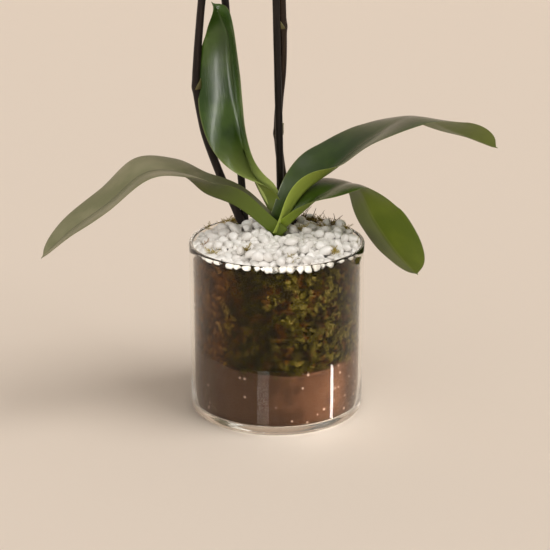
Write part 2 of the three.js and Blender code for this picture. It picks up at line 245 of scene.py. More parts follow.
    def finished(self, surface: Sock) -> Finish:
        """Ends the tree in a surface and returns its material.

        Args:
            surface: The surface.

        Returns:
            The material.
        """
        end = self.tree.nodes.new("ShaderNodeOutputMaterial")
        self.tree.links.new(surface.socket, end.inputs["Surface"])
        return self.material


def rgba(value: Value) -> Value:
    """A colour with its fourth number, or the value itself if it is a link."""
    return value if isinstance(value, Sock) or len(value) == 4 else (*value, 1.0)


# ---- Finishes ----


@dataclass(frozen=True)
class ClearGlass:
    """Polished clear glass that lets light through to what it holds."""

    name: str = "wall_glass"
    tint: Colour = (0.940, 0.930, 0.900)
    bend: float = 1.45
    sheen: Colour = (0.17, 0.165, 0.155)

    def material(self) -> Finish:
        """Makes the glass: it refracts to the eye and is open to the lamps.

        Returns:
            The material.
        """
        tree = Shader(self.name)
        glass = tree.surface(Base_Color=self.tint, Roughness=0.0, IOR=self.bend, Transmission_Weight=1.0,
                             Specular_Tint=self.sheen)
        clear = tree.node("ShaderNodeBsdfTransparent", inputs={0: (0.96, 0.97, 0.96, 1.0)})
        shadow = tree.node("ShaderNodeLightPath", out="Is Shadow Ray")
        return tree.finished(tree.node("ShaderNodeMixShader", inputs={0: shadow, 1: glass, 2: clear}))


@dataclass(frozen=True)
class DampSoil:
    """Fine damp soil pressed against the glass, greyer and darker at the left, partly by painted shade, and
    warmer at the right.
    """

    name: str = "damp_soil"
    left: Colour = (0.036, 0.018, 0.010)
    right: Colour = (0.130, 0.057, 0.029)
    dark: Colour = (0.026, 0.013, 0.008)
    speck: Colour = (0.62, 0.44, 0.34)

    def material(self) -> Finish:
        """Makes the soil, with clouds, grains and pale specks.

        Returns:
            The material.
        """
        tree = Shader(self.name)
        place = tree.place()
        # side runs from the dark left colour to the warm right one: partly the soil's own tone, partly
        # painted shade on the left, away from the light.
        side = tree.step(tree.axis(place, 0), -0.020, 0.030)
        clouds = tree.noise(place, 45.0, 5.0, 0.6)
        grain = tree.noise(place, 900.0, 4.0, 0.7)
        crumbs = tree.cells(place, 420.0)
        base = tree.mix(side, self.left, self.right)
        shaded = tree.mix(tree.step(clouds, 0.40, 0.72) * 0.75, base, self.dark)
        grained = tree.mix(tree.step(grain, 0.50, 0.80) * 0.22, shaded, self.speck)
        colour_of = tree.cells(place, 230.0, out="Color")
        rare = tree.step(tree.axis(colour_of, 0), 0.84, 0.86)
        small = 1.0 - tree.step(tree.cells(place, 230.0), 0.20, 0.34)
        # The specks are dimmer on the left: painted shade, by the same side share.
        specked = tree.mix(rare * small * (0.35 + side * 0.6), grained, self.speck)
        rise = tree.bump(crumbs + grain * 0.6, 0.25, 0.0005)
        return tree.finished(tree.surface(
            Base_Color=specked, Roughness=0.82, Specular_IOR_Level=0.0, Normal=rise))


class MossTone(Enum):
    """How far a patch of moss has turned from fresh green to rust."""

    FRESH = "fresh"
    PACKED = "packed"
    RUSTY = "rusty"


@dataclass(frozen=True)
class Moss:
    """Shaggy moss: rust at the left and yellow-green at the right, darkened at the left by painted shade and
    in the middle by a painted dark reflection.
    """

    name: str = "moss"
    tone: MossTone = MossTone.PACKED

    def material(self) -> Finish:
        """Makes the moss, coloured by its place, by each sprig's tone and by each leaflet's.

        Returns:
            The material.
        """
        tree = Shader(self.name)
        place = tree.place()
        own = tree.attribute("tone") * 0.62 + tree.attribute("leaflet") * 0.38
        patches = tree.noise(place, 34.0, 3.0, 0.6)
        if self.tone is not MossTone.PACKED:
            own = own * 0.55 + 0.45
        green = tree.ramp(own, (0.0, (0.006, 0.005, 0.002)), (0.30, (0.038, 0.030, 0.003)),
                          (0.62, (0.132, 0.100, 0.011)), (1.0, (0.560, 0.430, 0.115)))
        rust = tree.ramp(own, (0.0, (0.012, 0.004, 0.002)), (0.33, (0.080, 0.023, 0.004)),
                         (0.68, (0.200, 0.070, 0.014)), (1.0, (0.480, 0.240, 0.080)))
        if self.tone is MossTone.PACKED:
            across = tree.axis(place, 0) + (patches - 0.5) * 0.05
            rusted = 1.0 - tree.step(across, -0.046, -0.026)
            spots = tree.step(tree.noise(place, 120.0, 2.0), 0.52, 0.62)
            share = tree.math("MAXIMUM", rusted * 0.92, spots * 0.80)
            # middle darkens a band in the middle of the front: a painted dark reflection in the glass. left
            # darkens the left side: painted shade, away from the light.
            middle = tree.step(across, -0.046, -0.026) * (1.0 - tree.step(across, -0.010, 0.010))
            left = 1.0 - tree.step(across, -0.010, 0.004)
            shade = tree.math("MAXIMUM", middle * 0.80, left * 0.38)
        else:
            share = tree.step(patches, 0.45, 0.62) * (1.0 if self.tone is MossTone.RUSTY else 0.2)
            shade = patches * 0.05
        colour = tree.mix(share, green, rust)
        deep = tree.step(tree.noise(place, 75.0, 3.0), 0.50, 0.64)
        depth = 0.72 if self.tone is MossTone.PACKED else 0.1
        shaded = tree.mix(deep * depth, colour, (0.010, 0.006, 0.005))
        # The share named shade is painted shade and a painted dark reflection on the packed moss, and a
        # faint random dimming on the tufts.
        dim = tree.mix(shade, shaded, (0.007, 0.006, 0.003))
        return tree.finished(tree.surface(Base_Color=dim, Roughness=0.8, Specular_IOR_Level=0.0))


@dataclass(frozen=True)
class WhitePebble:
    """Smooth white decorative pebbles, a little warm, with faint grey clouds."""

    name: str = "white_pebble"
    light: Colour = (0.93, 0.91, 0.88)
    cloud: Colour = (0.76, 0.72, 0.67)

    def material(self) -> Finish:
        """Makes the pebbles, each a slightly different white.

        Returns:
            The material.
        """
        tree = Shader(self.name)
        place = tree.place()
        own = tree.attribute("tone")
        clouds = tree.noise(place, 130.0, 4.0, 0.6, 0.6)
        base = tree.mix(tree.step(own, 0.55, 1.0) * 0.45, self.light, self.cloud)
        clouded = tree.mix(tree.step(clouds, 0.50, 0.75) * 0.35, base, self.cloud)
        pits = tree.noise(place, 900.0, 3.0, 0.6)
        rise = tree.bump(pits, 0.12, 0.0003)
        rough = tree.fit(clouds, 0.3, 0.7, 0.24, 0.42)
        return tree.finished(tree.surface(Base_Color=clouded, Roughness=rough, Normal=rise))


@dataclass(frozen=True)
class LeafSkin:
    """Waxy leaf: deep glossy green above, duller olive beneath, paler towards the crown."""

    name: str = "leaf"
    upper: Colour = (0.042, 0.080, 0.010)
    upper_deep: Colour = (0.018, 0.040, 0.005)
    under: Colour = (0.105, 0.135, 0.012)
    under_deep: Colour = (0.070, 0.098, 0.007)
    crown: Colour = (0.185, 0.260, 0.014)
    crown_above: float = 0.12
    crown_below: float = 0.90
    polish: float = 0.26

    def material(self) -> Finish:
        """Makes the leaf skin, with fine veins along it.

        Returns:
            The material.
        """
        tree = Shader(self.name)
        across, along = tree.along()
        top = tree.attribute("upper")
        place = tree.place()
        off_middle = tree.math("ABSOLUTE", across - 0.5)
        vein_map = tree.vector(across * 70.0, along * 5.0)
        veins = tree.noise(vein_map, 1.0, 3.0, 0.6)
        blotch = tree.noise(place, 28.0, 3.0, 0.55)
        speckle = tree.noise(tree.vector(across * 160.0, along * 420.0), 1.0, 2.0, 0.7)
        above = tree.mix(tree.step(blotch, 0.35, 0.68), self.upper_deep, self.upper)
        above = tree.mix(tree.step(veins, 0.50, 0.75) * 0.25, above, self.upper)
        below = tree.mix(tree.step(blotch, 0.35, 0.68), self.under_deep, self.under)
        below = tree.mix(tree.step(veins, 0.45, 0.75) * 0.30, below, self.under)
        skin = tree.mix(top, below, above)
        middle = 1.0 - tree.step(off_middle, 0.005, 0.024)
        # The groove along the upper midrib is darkened: painted shade in the crease.
        skin = tree.mix(middle * top * 0.75, skin, (0.018, 0.032, 0.006))
        skin = tree.mix(middle * (1.0 - top) * 0.45, skin, (0.170, 0.190, 0.050))
        # A paler rim along both edges: partly the leaf's own margin, partly painted highlight where the
        # edges catch the light.
        rim = tree.step(off_middle, 0.478, 0.498)
        skin = tree.mix(rim * 0.45, skin, (0.16, 0.17, 0.06))
        # Paler towards the crown; on the upright and upper right leaves the brighter crown colour is partly
        # painted light.
        near_crown = 1.0 - tree.step(along, 0.06, 0.46)
        crown_share = self.crown_below + top * (self.crown_above - self.crown_below)
        skin = tree.mix(near_crown * crown_share, skin, self.crown)
        low = tree.bump(veins, 0.25, 0.0005)
        rise = tree.bump(speckle, 0.26, 0.00022, low)
        matt = tree.mix(top, (0.46, 0.46, 0.46), (self.polish,) * 3)
        rough = tree.axis(matt, 0) + (speckle - 0.5) * 0.12
        return tree.finished(tree.surface(
            Base_Color=skin, Roughness=rough, Normal=rise, Coat_Weight=top * 0.25, Coat_Roughness=0.15,
            Specular_IOR_Level=0.38))


@dataclass(frozen=True)
class StemSkin:
    """Smooth stem skin that darkens from a base colour, flecked, with a faint waxy bloom."""

    name: str
    base: Colour
    fleck: Colour
    rough: float = 0.42
    streak: float = 0.5

    def material(self) -> Finish:
        """Makes the stem skin, streaked along its length.

        Returns:
            The material.
        """
        tree = Shader(self.name)
        place = tree.place()
        streaks = tree.noise(tree.scaled(place, (420.0, 420.0, 22.0)), 1.0, 3.0, 0.6)
        flecks = tree.noise(place, 650.0, 2.0, 0.6)
        base = tree.mix(tree.step(streaks, 0.42, 0.78) * self.streak, self.base, self.fleck)
        flecked = tree.mix(tree.step(flecks, 0.62, 0.74) * 0.35, base, self.fleck)
        rise = tree.bump(streaks, 0.3, 0.0004)
        return tree.finished(tree.surface(
            Base_Color=flecked, Roughness=self.rough, Normal=rise, Specular_IOR_Level=0.25))


@dataclass(frozen=True)
class PetalSkin:
    """Soft petal, paler at its base and its rim, with branching veins."""

    name: str = "petal"
    body: Colour = (0.62, 0.20, 0.42)
    pale: Colour = (0.86, 0.62, 0.74)
    vein: Colour = (0.40, 0.06, 0.24)

    def material(self) -> Finish:
        """Makes the petal.

        Returns:
            The material.
        """
        tree = Shader(self.name)
        across, along = tree.along()
        spread = (across - 0.5) / (0.25 + along * 0.6)
        wander = tree.noise(tree.vector(across * 6.0, along * 5.0), 1.0, 2.0)
        lines = tree.math("ABSOLUTE", tree.math("SINE", (spread + (wander - 0.5) * 0.12) * 46.0))
        vein = (1.0 - tree.step(lines, 0.04, 0.34)) * (1.0 - tree.step(along, 0.55, 0.98))
        rim = tree.step(tree.math("ABSOLUTE", across - 0.5), 0.36, 0.5)
        soft = tree.mix(tree.step(along, 0.02, 0.22), self.pale, self.body)
        edged = tree.mix(rim * 0.55, soft, self.pale)
        veined = tree.mix(vein * 0.55, edged, self.vein)
        rise = tree.bump(vein, 0.25, 0.0003)
        return tree.finished(tree.surface(
            Base_Color=veined, Roughness=0.55, Normal=rise, Subsurface_Weight=0.2,
            Subsurface_Radius=(0.003, 0.0015, 0.002), Subsurface_Scale=0.6, Sheen_Weight=0.2))


@dataclass(frozen=True)
class GradedSkin:
    """A skin that runs from one colour at a piece's base to another at its tip."""

    name: str
    base: Colour
    tip: Colour
    spot: Colour
    rough: float = 0.45

    def material(self) -> Finish:
        """Makes the graded skin.

        Returns:
            The material.
        """
        tree = Shader(self.name)
        across, along = tree.along()
        place = tree.place()
        graded = tree.mix(tree.step(along, 0.05, 0.85), self.base, self.tip)
        spots = tree.noise(tree.vector(across * 22.0, along * 7.0), 1.0, 3.0, 0.6)
        spotted = tree.mix(tree.step(spots, 0.55, 0.70) * 0.5, graded, self.spot)
        rise = tree.bump(tree.noise(place, 800.0, 2.0), 0.15, 0.0003)
        return tree.finished(tree.surface(Base_Color=spotted, Roughness=self.rough, Normal=rise))


@dataclass(frozen=True)
class FloorPaint:
    """Plain pale studio floor."""

    name: str = "studio_floor"
    colour: Colour = (0.93, 0.82, 0.715)

    def material(self) -> Finish:
        """Makes the floor paint.

        Returns:
            The material.
        """
        tree = Shader(self.name)
        mottle = tree.noise(tree.place(), 3.0, 2.0)
        shade = tree.mix(mottle * 0.06, self.colour, (0.88, 0.77, 0.67))
        return tree.finished(tree.surface(Base_Color=shade, Roughness=0.8, Specular_IOR_Level=0.1))


# ---- Meshes ----


@dataclass
class Shape:
    """Points and faces of a piece while it is being built, with its surface map and numbers."""

    points: list[np.ndarray] = field(default_factory=list)
    faces: Faces = field(default_factory=list)
    surface: list[np.ndarray] = field(default_factory=list)
    numbers: list[np.ndarray] = field(default_factory=list)
    total: int = 0

    def add(self, points: np.ndarray, faces: Sequence[tuple[int, ...]],
            surface: Optional[np.ndarray] = None, number: Optional[np.ndarray] = None) -> None:
        """Adds one closed body.

        Args:
            points: Its corners, one row each.
            faces: Its faces, numbered from its own first corner.
            surface: Two numbers for each corner, across and along.
            number: One stored number for each corner.
        """
        count = len(points)
        self.points.append(np.asarray(points, float))
        self.faces += [tuple(i + self.total for i in face) for face in faces]
        self.surface.append(np.zeros((count, 2)) if surface is None else np.asarray(surface, float))
        self.numbers.append(np.zeros(count) if number is None else np.asarray(number, float))
        self.total += count

    def piece(self, name: str, finish: Finish, number_name: str = "tone") -> Piece:
        """Makes the object.

        Args:
            name: The piece's name.
            finish: Its material.
            number_name: The name under which the stored number goes.

        Returns:
            The new object, at the origin.
        """
        mesh = bpy.data.meshes.new(name)
        mesh.from_pydata(np.concatenate(self.points).tolist(), [], self.faces)
        corner = np.zeros(len(mesh.loops), int)
        mesh.loops.foreach_get("vertex_index", corner)
        layer = mesh.uv_layers.new(name="surface")
        layer.data.foreach_set("uv", np.concatenate(self.surface)[corner].ravel())
        numbers = mesh.attributes.new(number_name, "FLOAT", "POINT")
        numbers.data.foreach_set("value", np.concatenate(self.numbers))
        mesh.polygons.foreach_set("use_smooth", [True] * len(mesh.polygons))
        mesh.materials.append(finish)
        mesh.update()
        made = bpy.data.objects.new(name, mesh)
        bpy.context.scene.collection.objects.link(made)
        return made


def smooth_step(value: np.ndarray, low: float, high: float) -> np.ndarray:
    """A smooth step from 0 at low to 1 at high."""
    share = np.clip((value - low) / (high - low), 0.0, 1.0)
    return share * share * (3.0 - 2.0 * share)


def catmull(stops: np.ndarray, count: int) -> np.ndarray:
    """Evenly spaced values of a smooth curve through its stops.

    Args:
        stops: One row for each stop.
        count: How many rows are wanted.

    Returns:
        The curve's rows, evenly spaced in its own parameter.
    """
    stops = np.asarray(stops, float)
    padded = np.vstack([2 * stops[0] - stops[1], stops, 2 * stops[-1] - stops[-2]])
    place = np.linspace(0.0, len(stops) - 1.0, count)
    left = np.minimum(place.astype(int), len(stops) - 2)
    t = (place - left)[:, None]
    a, b, c, d = (padded[left + k] for k in range(4))
    return 0.5 * (2 * b + (c - a) * t + (2 * a - 5 * b + 4 * c - d) * t ** 2
                  + (3 * b - a - 3 * c + d) * t ** 3)


def even(stops: Sequence[Sequence[float]], count: int, *others: Sequence) -> list[np.ndarray]:
    """A smooth curve at even distances along it, with other stops carried along.

    Args:
        stops: The curve's stops.
        count: How many points are wanted.
        others: Rows of other values, one for each stop.

    Returns:
        The curve's points, then each of the others at those points.
    """
    fine = [catmull(np.asarray(rows, float), FINE) for rows in (stops, *others)]
    steps = np.linalg.norm(np.diff(fine[0], axis=0), axis=1)
    length = np.concatenate([[0.0], np.cumsum(steps)])
    wanted = np.linspace(0.0, length[-1], count)
    return [np.stack([np.interp(wanted, length, column) for column in rows.T], axis=1) for rows in fine]


def unit(rows: np.ndarray) -> np.ndarray:
    """Rows scaled to length one."""
    return rows / np.maximum(np.linalg.norm(rows, axis=-1, keepdims=True), 1e-12)


def blurred(rows: np.ndarray, spread: float) -> np.ndarray:
    """Averages rows with their neighbours by a bell curve.

    Args:
        rows: The rows.
        spread: The bell's spread, in rows.

    Returns:
        The smoothed rows.
    """
    reach = int(3 * spread)
    weights = np.exp(-0.5 * (np.arange(-reach, reach + 1) / spread) ** 2)
    padded = np.pad(rows, ((reach, reach), (0, 0)), mode="edge")
    return np.stack([np.convolve(column, weights / weights.sum(), "valid") for column in padded.T], axis=1)


def frames_along(points: np.ndarray) -> tuple[np.ndarray, np.ndarray, np.ndarray]:
    """Directions along a path and two across it that don't twist.

    Args:
        points: The path.

    Returns:
        The direction along it, and the two across it, at each point.
    """
    along = unit(np.gradient(points, axis=0))
    start = np.array([1.0, 0.0, 0.0]) if abs(along[0][0]) < 0.8 else np.array([0.0, 1.0, 0.0])
    first = [unit(start - along[0] * start.dot(along[0]))]
    for step in along[1:]:
        first.append(unit(first[-1] - step * first[-1].dot(step)))
    first_rows = np.array(first)
    return along, first_rows, np.cross(along, first_rows)


def lofted(rings: np.ndarray) -> Faces:
    """Faces that skin a row of equal closed rings.

    Args:
        rings: Points as ring, place on the ring, and coordinate.

    Returns:
        The faces, with one at either end.
    """
    rows, count = rings.shape[:2]
    faces = [(r * count + i, r * count + (i + 1) % count,
              (r + 1) * count + (i + 1) % count, (r + 1) * count + i)
             for r in range(rows - 1) for i in range(count)]
    faces.append(tuple(reversed(range(count))))
    faces.append(tuple(range((rows - 1) * count, rows * count)))
    return faces


def sheet_faces(rows: int, columns: int) -> Faces:
    """Faces of a thin closed sheet, whose rings run across its front and back again behind it.

    Args:
        rows: Rings along the sheet.
        columns: Corners across one side of it.

    Returns:
        The faces, with both ends closed in strips.
    """
    count = 2 * columns
    faces = [(r * count + (i + 1) % count, r * count + i,
              (r + 1) * count + i, (r + 1) * count + (i + 1) % count)
             for r in range(rows - 1) for i in range(count)]
    last = (rows - 1) * count
    for i in range(columns - 1):
        k = count - 1 - i
        faces.append((i, i + 1, k - 1, k))
        faces.append((last + k, last + k - 1, last + i + 1, last + i))
    return faces


def around(sides: int) -> np.ndarray:
    """Evenly spaced angles round a circle."""
    return np.linspace(0.0, 2.0 * np.pi, sides, endpoint=False)


def turned(profile: Sequence[tuple[float, float]], sides: int) -> np.ndarray:
    """Rings about the Z axis, one for each pair of radius and height in a profile."""
    return np.array([[(r * math.cos(a), r * math.sin(a), z) for a in around(sides)] for r, z in profile])


def bend(middle: tuple[float, float], size: float, start: float, stop: float,
         steps: int) -> list[tuple[float, float]]:
    """A bend in a profile.

    Args:
        middle: The radius and height of its middle.
        size: How far it lies from its middle.
        start: The angle where it starts, in degrees.
        stop: The angle where it ends.
        steps: How many steps it has.

    Returns:
        Pairs of radius and height.
    """
    angles = np.radians(np.linspace(start, stop, steps + 1))
    return [(middle[0] + size * math.cos(a), middle[1] + size * math.sin(a)) for a in angles]


def sweep(shape: Shape, path: np.ndarray, radius: np.ndarray, sides: int) -> None:
    """Adds a round stem along a path, with a radius at each point.

    Args:
        shape: Where the stem goes.
        path: Its points.
        radius: Its radius at each point.
        sides: How many corners it has around.
    """
    _, first, second = frames_along(path)
    angle = around(sides)
    ring = (np.cos(angle)[:, None, None] * first + np.sin(angle)[:, None, None] * second).transpose(1, 0, 2)
    rings = path[:, None, :] + ring * radius[:, None, None]
    share = np.linspace(0.0, 1.0, len(path))
    surface = np.stack(np.broadcast_arrays(angle[None, :] / (2 * np.pi), share[:, None]), axis=-1)
    shape.add(rings.reshape(-1, 3), lofted(rings), surface.reshape(-1, 2))


def round_ends(radius: np.ndarray, path: np.ndarray, start: bool = True, end: bool = True) -> np.ndarray:
    """Radii that run down to nearly nothing at the ends of a path, as a dome does.

    Args:
        radius: The radius at each point.
        path: The points.
        start: Whether the start is rounded.
        end: Whether the end is rounded.

    Returns:
        The radii.
    """
    length = np.concatenate([[0.0], np.cumsum(np.linalg.norm(np.diff(path, axis=0), axis=1))])
    result = radius.copy()
    for on, distance in ((start, length), (end, length[-1] - length)):
        if on:
            near = np.clip(distance / np.maximum(radius, 1e-9), 0.0, 1.0)
            result *= np.sqrt(np.clip(1.0 - (1.0 - near) ** 2, 0.004, 1.0))
    return result


def ball(rows: int, columns: int) -> tuple[np.ndarray, Faces]:
    """A unit ball with closed poles.

    Args:
        rows: Rings between the poles.
        columns: Corners around.

    Returns:
        Its points and faces.
    """
    points = [(0.0, 0.0, 1.0)]
    for r in range(1, rows + 1):
        tilt = math.pi * r / (rows + 1)
        points += [(math.sin(tilt) * math.cos(2 * math.pi * c / columns),
                    math.sin(tilt) * math.sin(2 * math.pi * c / columns), math.cos(tilt))
                   for c in range(columns)]
    points.append((0.0, 0.0, -1.0))
    last = len(points) - 1
    faces: Faces = []
    for c in range(columns):
        n = (c + 1) % columns
        faces.append((0, 1 + c, 1 + n))
        faces.append((last, last - columns + n, last - columns + c))
        for r in range(rows - 1):
            a = 1 + r * columns
            faces.append((a + c, a + columns + c, a + columns + n, a + n))
    return np.array(points), faces


def wavy(points: np.ndarray, scale: float, seed: int) -> np.ndarray:
    """A smooth wandering number from about -1 to 1 at each point.

    Args:
        points: Where it is wanted.
        scale: Waves in each metre.
        seed: Which pattern.

    Returns:
        The numbers.
    """
    draw = np.random.default_rng(seed)
    total = np.zeros(points.shape[:-1])
    for octave in range(1, 4):
        for _ in range(4):
            way = unit(draw.normal(size=3)) * scale * 2.0 * np.pi * octave
            total += np.sin(points @ way + draw.uniform(0, 2 * np.pi)) / octave
    return total / 4.0


# ---- Scattering ----


class Scatter:
    """Geometry Nodes that set copies of small pieces on points and make one mesh of them.

    The points carry their own size, turn and tone, so that the copies fit where they lie.
    """

    def __init__(self, name: str, finish: Finish) -> None:
        """Builds the tree.

        Args:
            name: The tree's name.
            finish: The material of the copies.
        """
        tree = bpy.data.node_groups.new(name, "GeometryNodeTree")
        face = tree.interface
        face.new_socket("Points", in_out="INPUT", socket_type="NodeSocketGeometry")
        face.new_socket("Size", in_out="INPUT", socket_type="NodeSocketFloat")
        face.new_socket("Variants", in_out="INPUT", socket_type="NodeSocketCollection")
        face.new_socket("Pieces", in_out="OUTPUT", socket_type="NodeSocketGeometry")
        self.tree = tree
        self._link(finish)

    def _link(self, finish: Finish) -> None:
        """Adds and joins the nodes.

        Args:
            finish: The material of the copies.
        """
        nodes, links = self.tree.nodes, self.tree.links
        given, end = nodes.new("NodeGroupInput"), nodes.new("NodeGroupOutput")
        variants = nodes.new("GeometryNodeCollectionInfo")
        variants.inputs["Separate Children"].default_value = True
        variants.inputs["Reset Children"].default_value = True
        links.new(given.outputs["Variants"], variants.inputs["Collection"])
        copies = nodes.new("GeometryNodeInstanceOnPoints")
        copies.inputs["Pick Instance"].default_value = True
        links.new(given.outputs["Points"], copies.inputs["Points"])
        links.new(variants.outputs["Instances"], copies.inputs["Instance"])
        links.new(self._read("kind", "INT"), copies.inputs["Instance Index"])
        turn = nodes.new("FunctionNodeEulerToRotation")
        links.new(self._read("turn", "FLOAT_VECTOR"), turn.inputs[0])
        links.new(turn.outputs[0], copies.inputs["Rotation"])
        scale = nodes.new("ShaderNodeVectorMath")
        scale.operation = "SCALE"
        links.new(self._read("size", "FLOAT_VECTOR"), scale.inputs[0])
        links.new(given.outputs["Size"], scale.inputs["Scale"])
        links.new(scale.outputs[0], copies.inputs["Scale"])
        solid = nodes.new("GeometryNodeRealizeInstances")
        dressed = nodes.new("GeometryNodeSetMaterial")
        dressed.inputs["Material"].default_value = finish
        links.new(copies.outputs[0], solid.inputs[0])
        links.new(solid.outputs[0], dressed.inputs[0])
        links.new(dressed.outputs[0], end.inputs[0])

    def _read(self, name: str, kind: str) -> bpy.types.NodeSocket:
        """A named attribute's output socket.

        Args:
            name: The attribute's name.
            kind: Its type.

        Returns:
            The socket.
        """
        read = self.tree.nodes.new("GeometryNodeInputNamedAttribute")
        read.data_type = kind
        read.inputs["Name"].default_value = name
        return next(o for o in read.outputs if o.enabled and o.name == "Attribute")

    def spread(self, name: str, places: "Places", variants: Sequence[Piece],
               finish: Finish, size: float = 1.0) -> Piece:
        """Makes one plain mesh of copies.

        Args:
            name: The new piece's name.
            places: Where and how the copies lie.
            variants: The small pieces to copy, which are removed afterwards by their maker.
            finish: The material of the copies.
            size: Scales all copies.

        Returns:
            The new piece.
        """
        holder = bpy.data.collections.new(name + "_variants")
        for variant in variants:
            holder.objects.link(variant)
        source = places.cloud(name)
        modifier = source.modifiers.new("scatter", "NODES")
        modifier.node_group = self.tree
        sockets = {s.name: s.identifier for s in self.tree.interface.items_tree if s.in_out == "INPUT"}
        modifier[sockets["Size"]] = size
        modifier[sockets["Variants"]] = holder
        graph = bpy.context.evaluated_depsgraph_get()
        mesh = bpy.data.meshes.new_from_object(source.evaluated_get(graph))
        bpy.data.objects.remove(source)
        bpy.data.collections.remove(holder)
        mesh.name = name
        if not mesh.materials:
            mesh.materials.append(finish)
        mesh.polygons.foreach_set("use_smooth", [True] * len(mesh.polygons))
        made = bpy.data.objects.new(name, mesh)
        bpy.context.scene.collection.objects.link(made)
        return made


@dataclass
class Places:
    """Where scattered copies lie: place, Euler turn, size, tone and which variant."""

    at: np.ndarray
    turn: np.ndarray
    size: np.ndarray
    tone: np.ndarray
    kind: np.ndarray

    def cloud(self, name: str) -> Piece:
        """A mesh of loose points that carries the numbers.

        Args:
            name: The name of the piece that it is for.

        Returns:
            The loose points.
        """
        mesh = bpy.data.meshes.new(name + "_points")
        mesh.from_pydata(self.at.tolist(), [], [])
        for key, kind, rows in (("turn", "FLOAT_VECTOR", self.turn), ("size", "FLOAT_VECTOR", self.size)):
            mesh.attributes.new(key, kind, "POINT").data.foreach_set("vector", rows.ravel())
        mesh.attributes.new("tone", "FLOAT", "POINT").data.foreach_set("value", self.tone)
        mesh.attributes.new("kind", "INT", "POINT").data.foreach_set("value", self.kind.astype(int))
        made = bpy.data.objects.new(name + "_points", mesh)
        bpy.context.scene.collection.objects.link(made)
        return made


def euler(x_axis: np.ndarray, z_axis: np.ndarray) -> tuple[float, float, float]:
    """The Euler turn whose X and Z axes point as given.

    Args:
        x_axis: Where X points, as nearly as Z allows.
        z_axis: Where Z points.

    Returns:
        Its three angles.
    """
    z = unit(z_axis)
    x = unit(x_axis - z * x_axis.dot(z))
    return tuple(Matrix((x, np.cross(z, x), z)).transposed().to_euler("XYZ"))


# ---- Vase and filling ----


@dataclass
class Vase:
    """The clear glass cylinder."""

    wall: float = 3.2 * MM
    foot: float = 6.6 * MM
    corner: float = 4.0 * MM
    inside_corner: float = 3.0 * MM
    shoulder: float = 8.0 * MM
    foot_band: float = 2.0 * MM
    rim_band: float = 1.1 * MM
    sides: int = 144

    def __post_init__(self) -> None:
        """Takes the outer size from the frame."""
        low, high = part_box("glass_vase")
        self.radius = (high[0] - low[0]) / 2
        self.height = high[2] - low[2]
        self.inner = self.radius - self.wall

    def profile(self) -> list[tuple[float, float]]:
        """Runs from the underside's middle round to the inside's middle.

        Returns:
            Pairs of radius and height.
        """
        lip, shoulder = self.wall / 2, self.height - self.shoulder
        rim = (self.radius - lip, self.height - lip)
        inside = (self.inner - self.inside_corner, self.foot + self.inside_corner)
        return [
            *bend((self.radius - self.corner, self.corner), self.corner, -90, 0, 8),
            *[(self.radius, z) for z in np.linspace(self.foot, shoulder, 6)],
            *bend(rim, lip, 0, 180, 12),
            *[(self.inner, z) for z in np.linspace(shoulder, 30 * MM, 6)],
            *bend(inside, self.inside_corner, 0, -90, 8),
        ]

    def build(self) -> Piece:
        """Makes the vase, which stands for its node.

        Returns:
            The piece.
        """
        rings = turned(self.profile(), self.sides)
        shape = Shape()
        shape.add(rings.reshape(-1, 3), lofted(rings))
        piece = shape.piece("vase", ClearGlass().material())
        for finish in (
            # The foot's warm brown tint is painted: it stands in for the soil seen refracted through the
            # thick glass, not a colour of the clear glass.
            ClearGlass("foot_glass", (0.70, 0.64, 0.58), 1.45, (1.0, 1.0, 1.0)),
            ClearGlass("rim_glass", (0.86, 0.84, 0.78), 1.42, (1.0, 1.0, 1.0)),
        ):
            piece.data.materials.append(finish.material())
        for face in piece.data.polygons:
            in_foot = face.center.z < self.foot + self.foot_band
            in_rim = face.center.z > self.height - self.rim_band
            face.material_index = 1 if in_foot else 2 if in_rim else 0
        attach(piece, "root")
        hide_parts("glass_vase")
        return piece


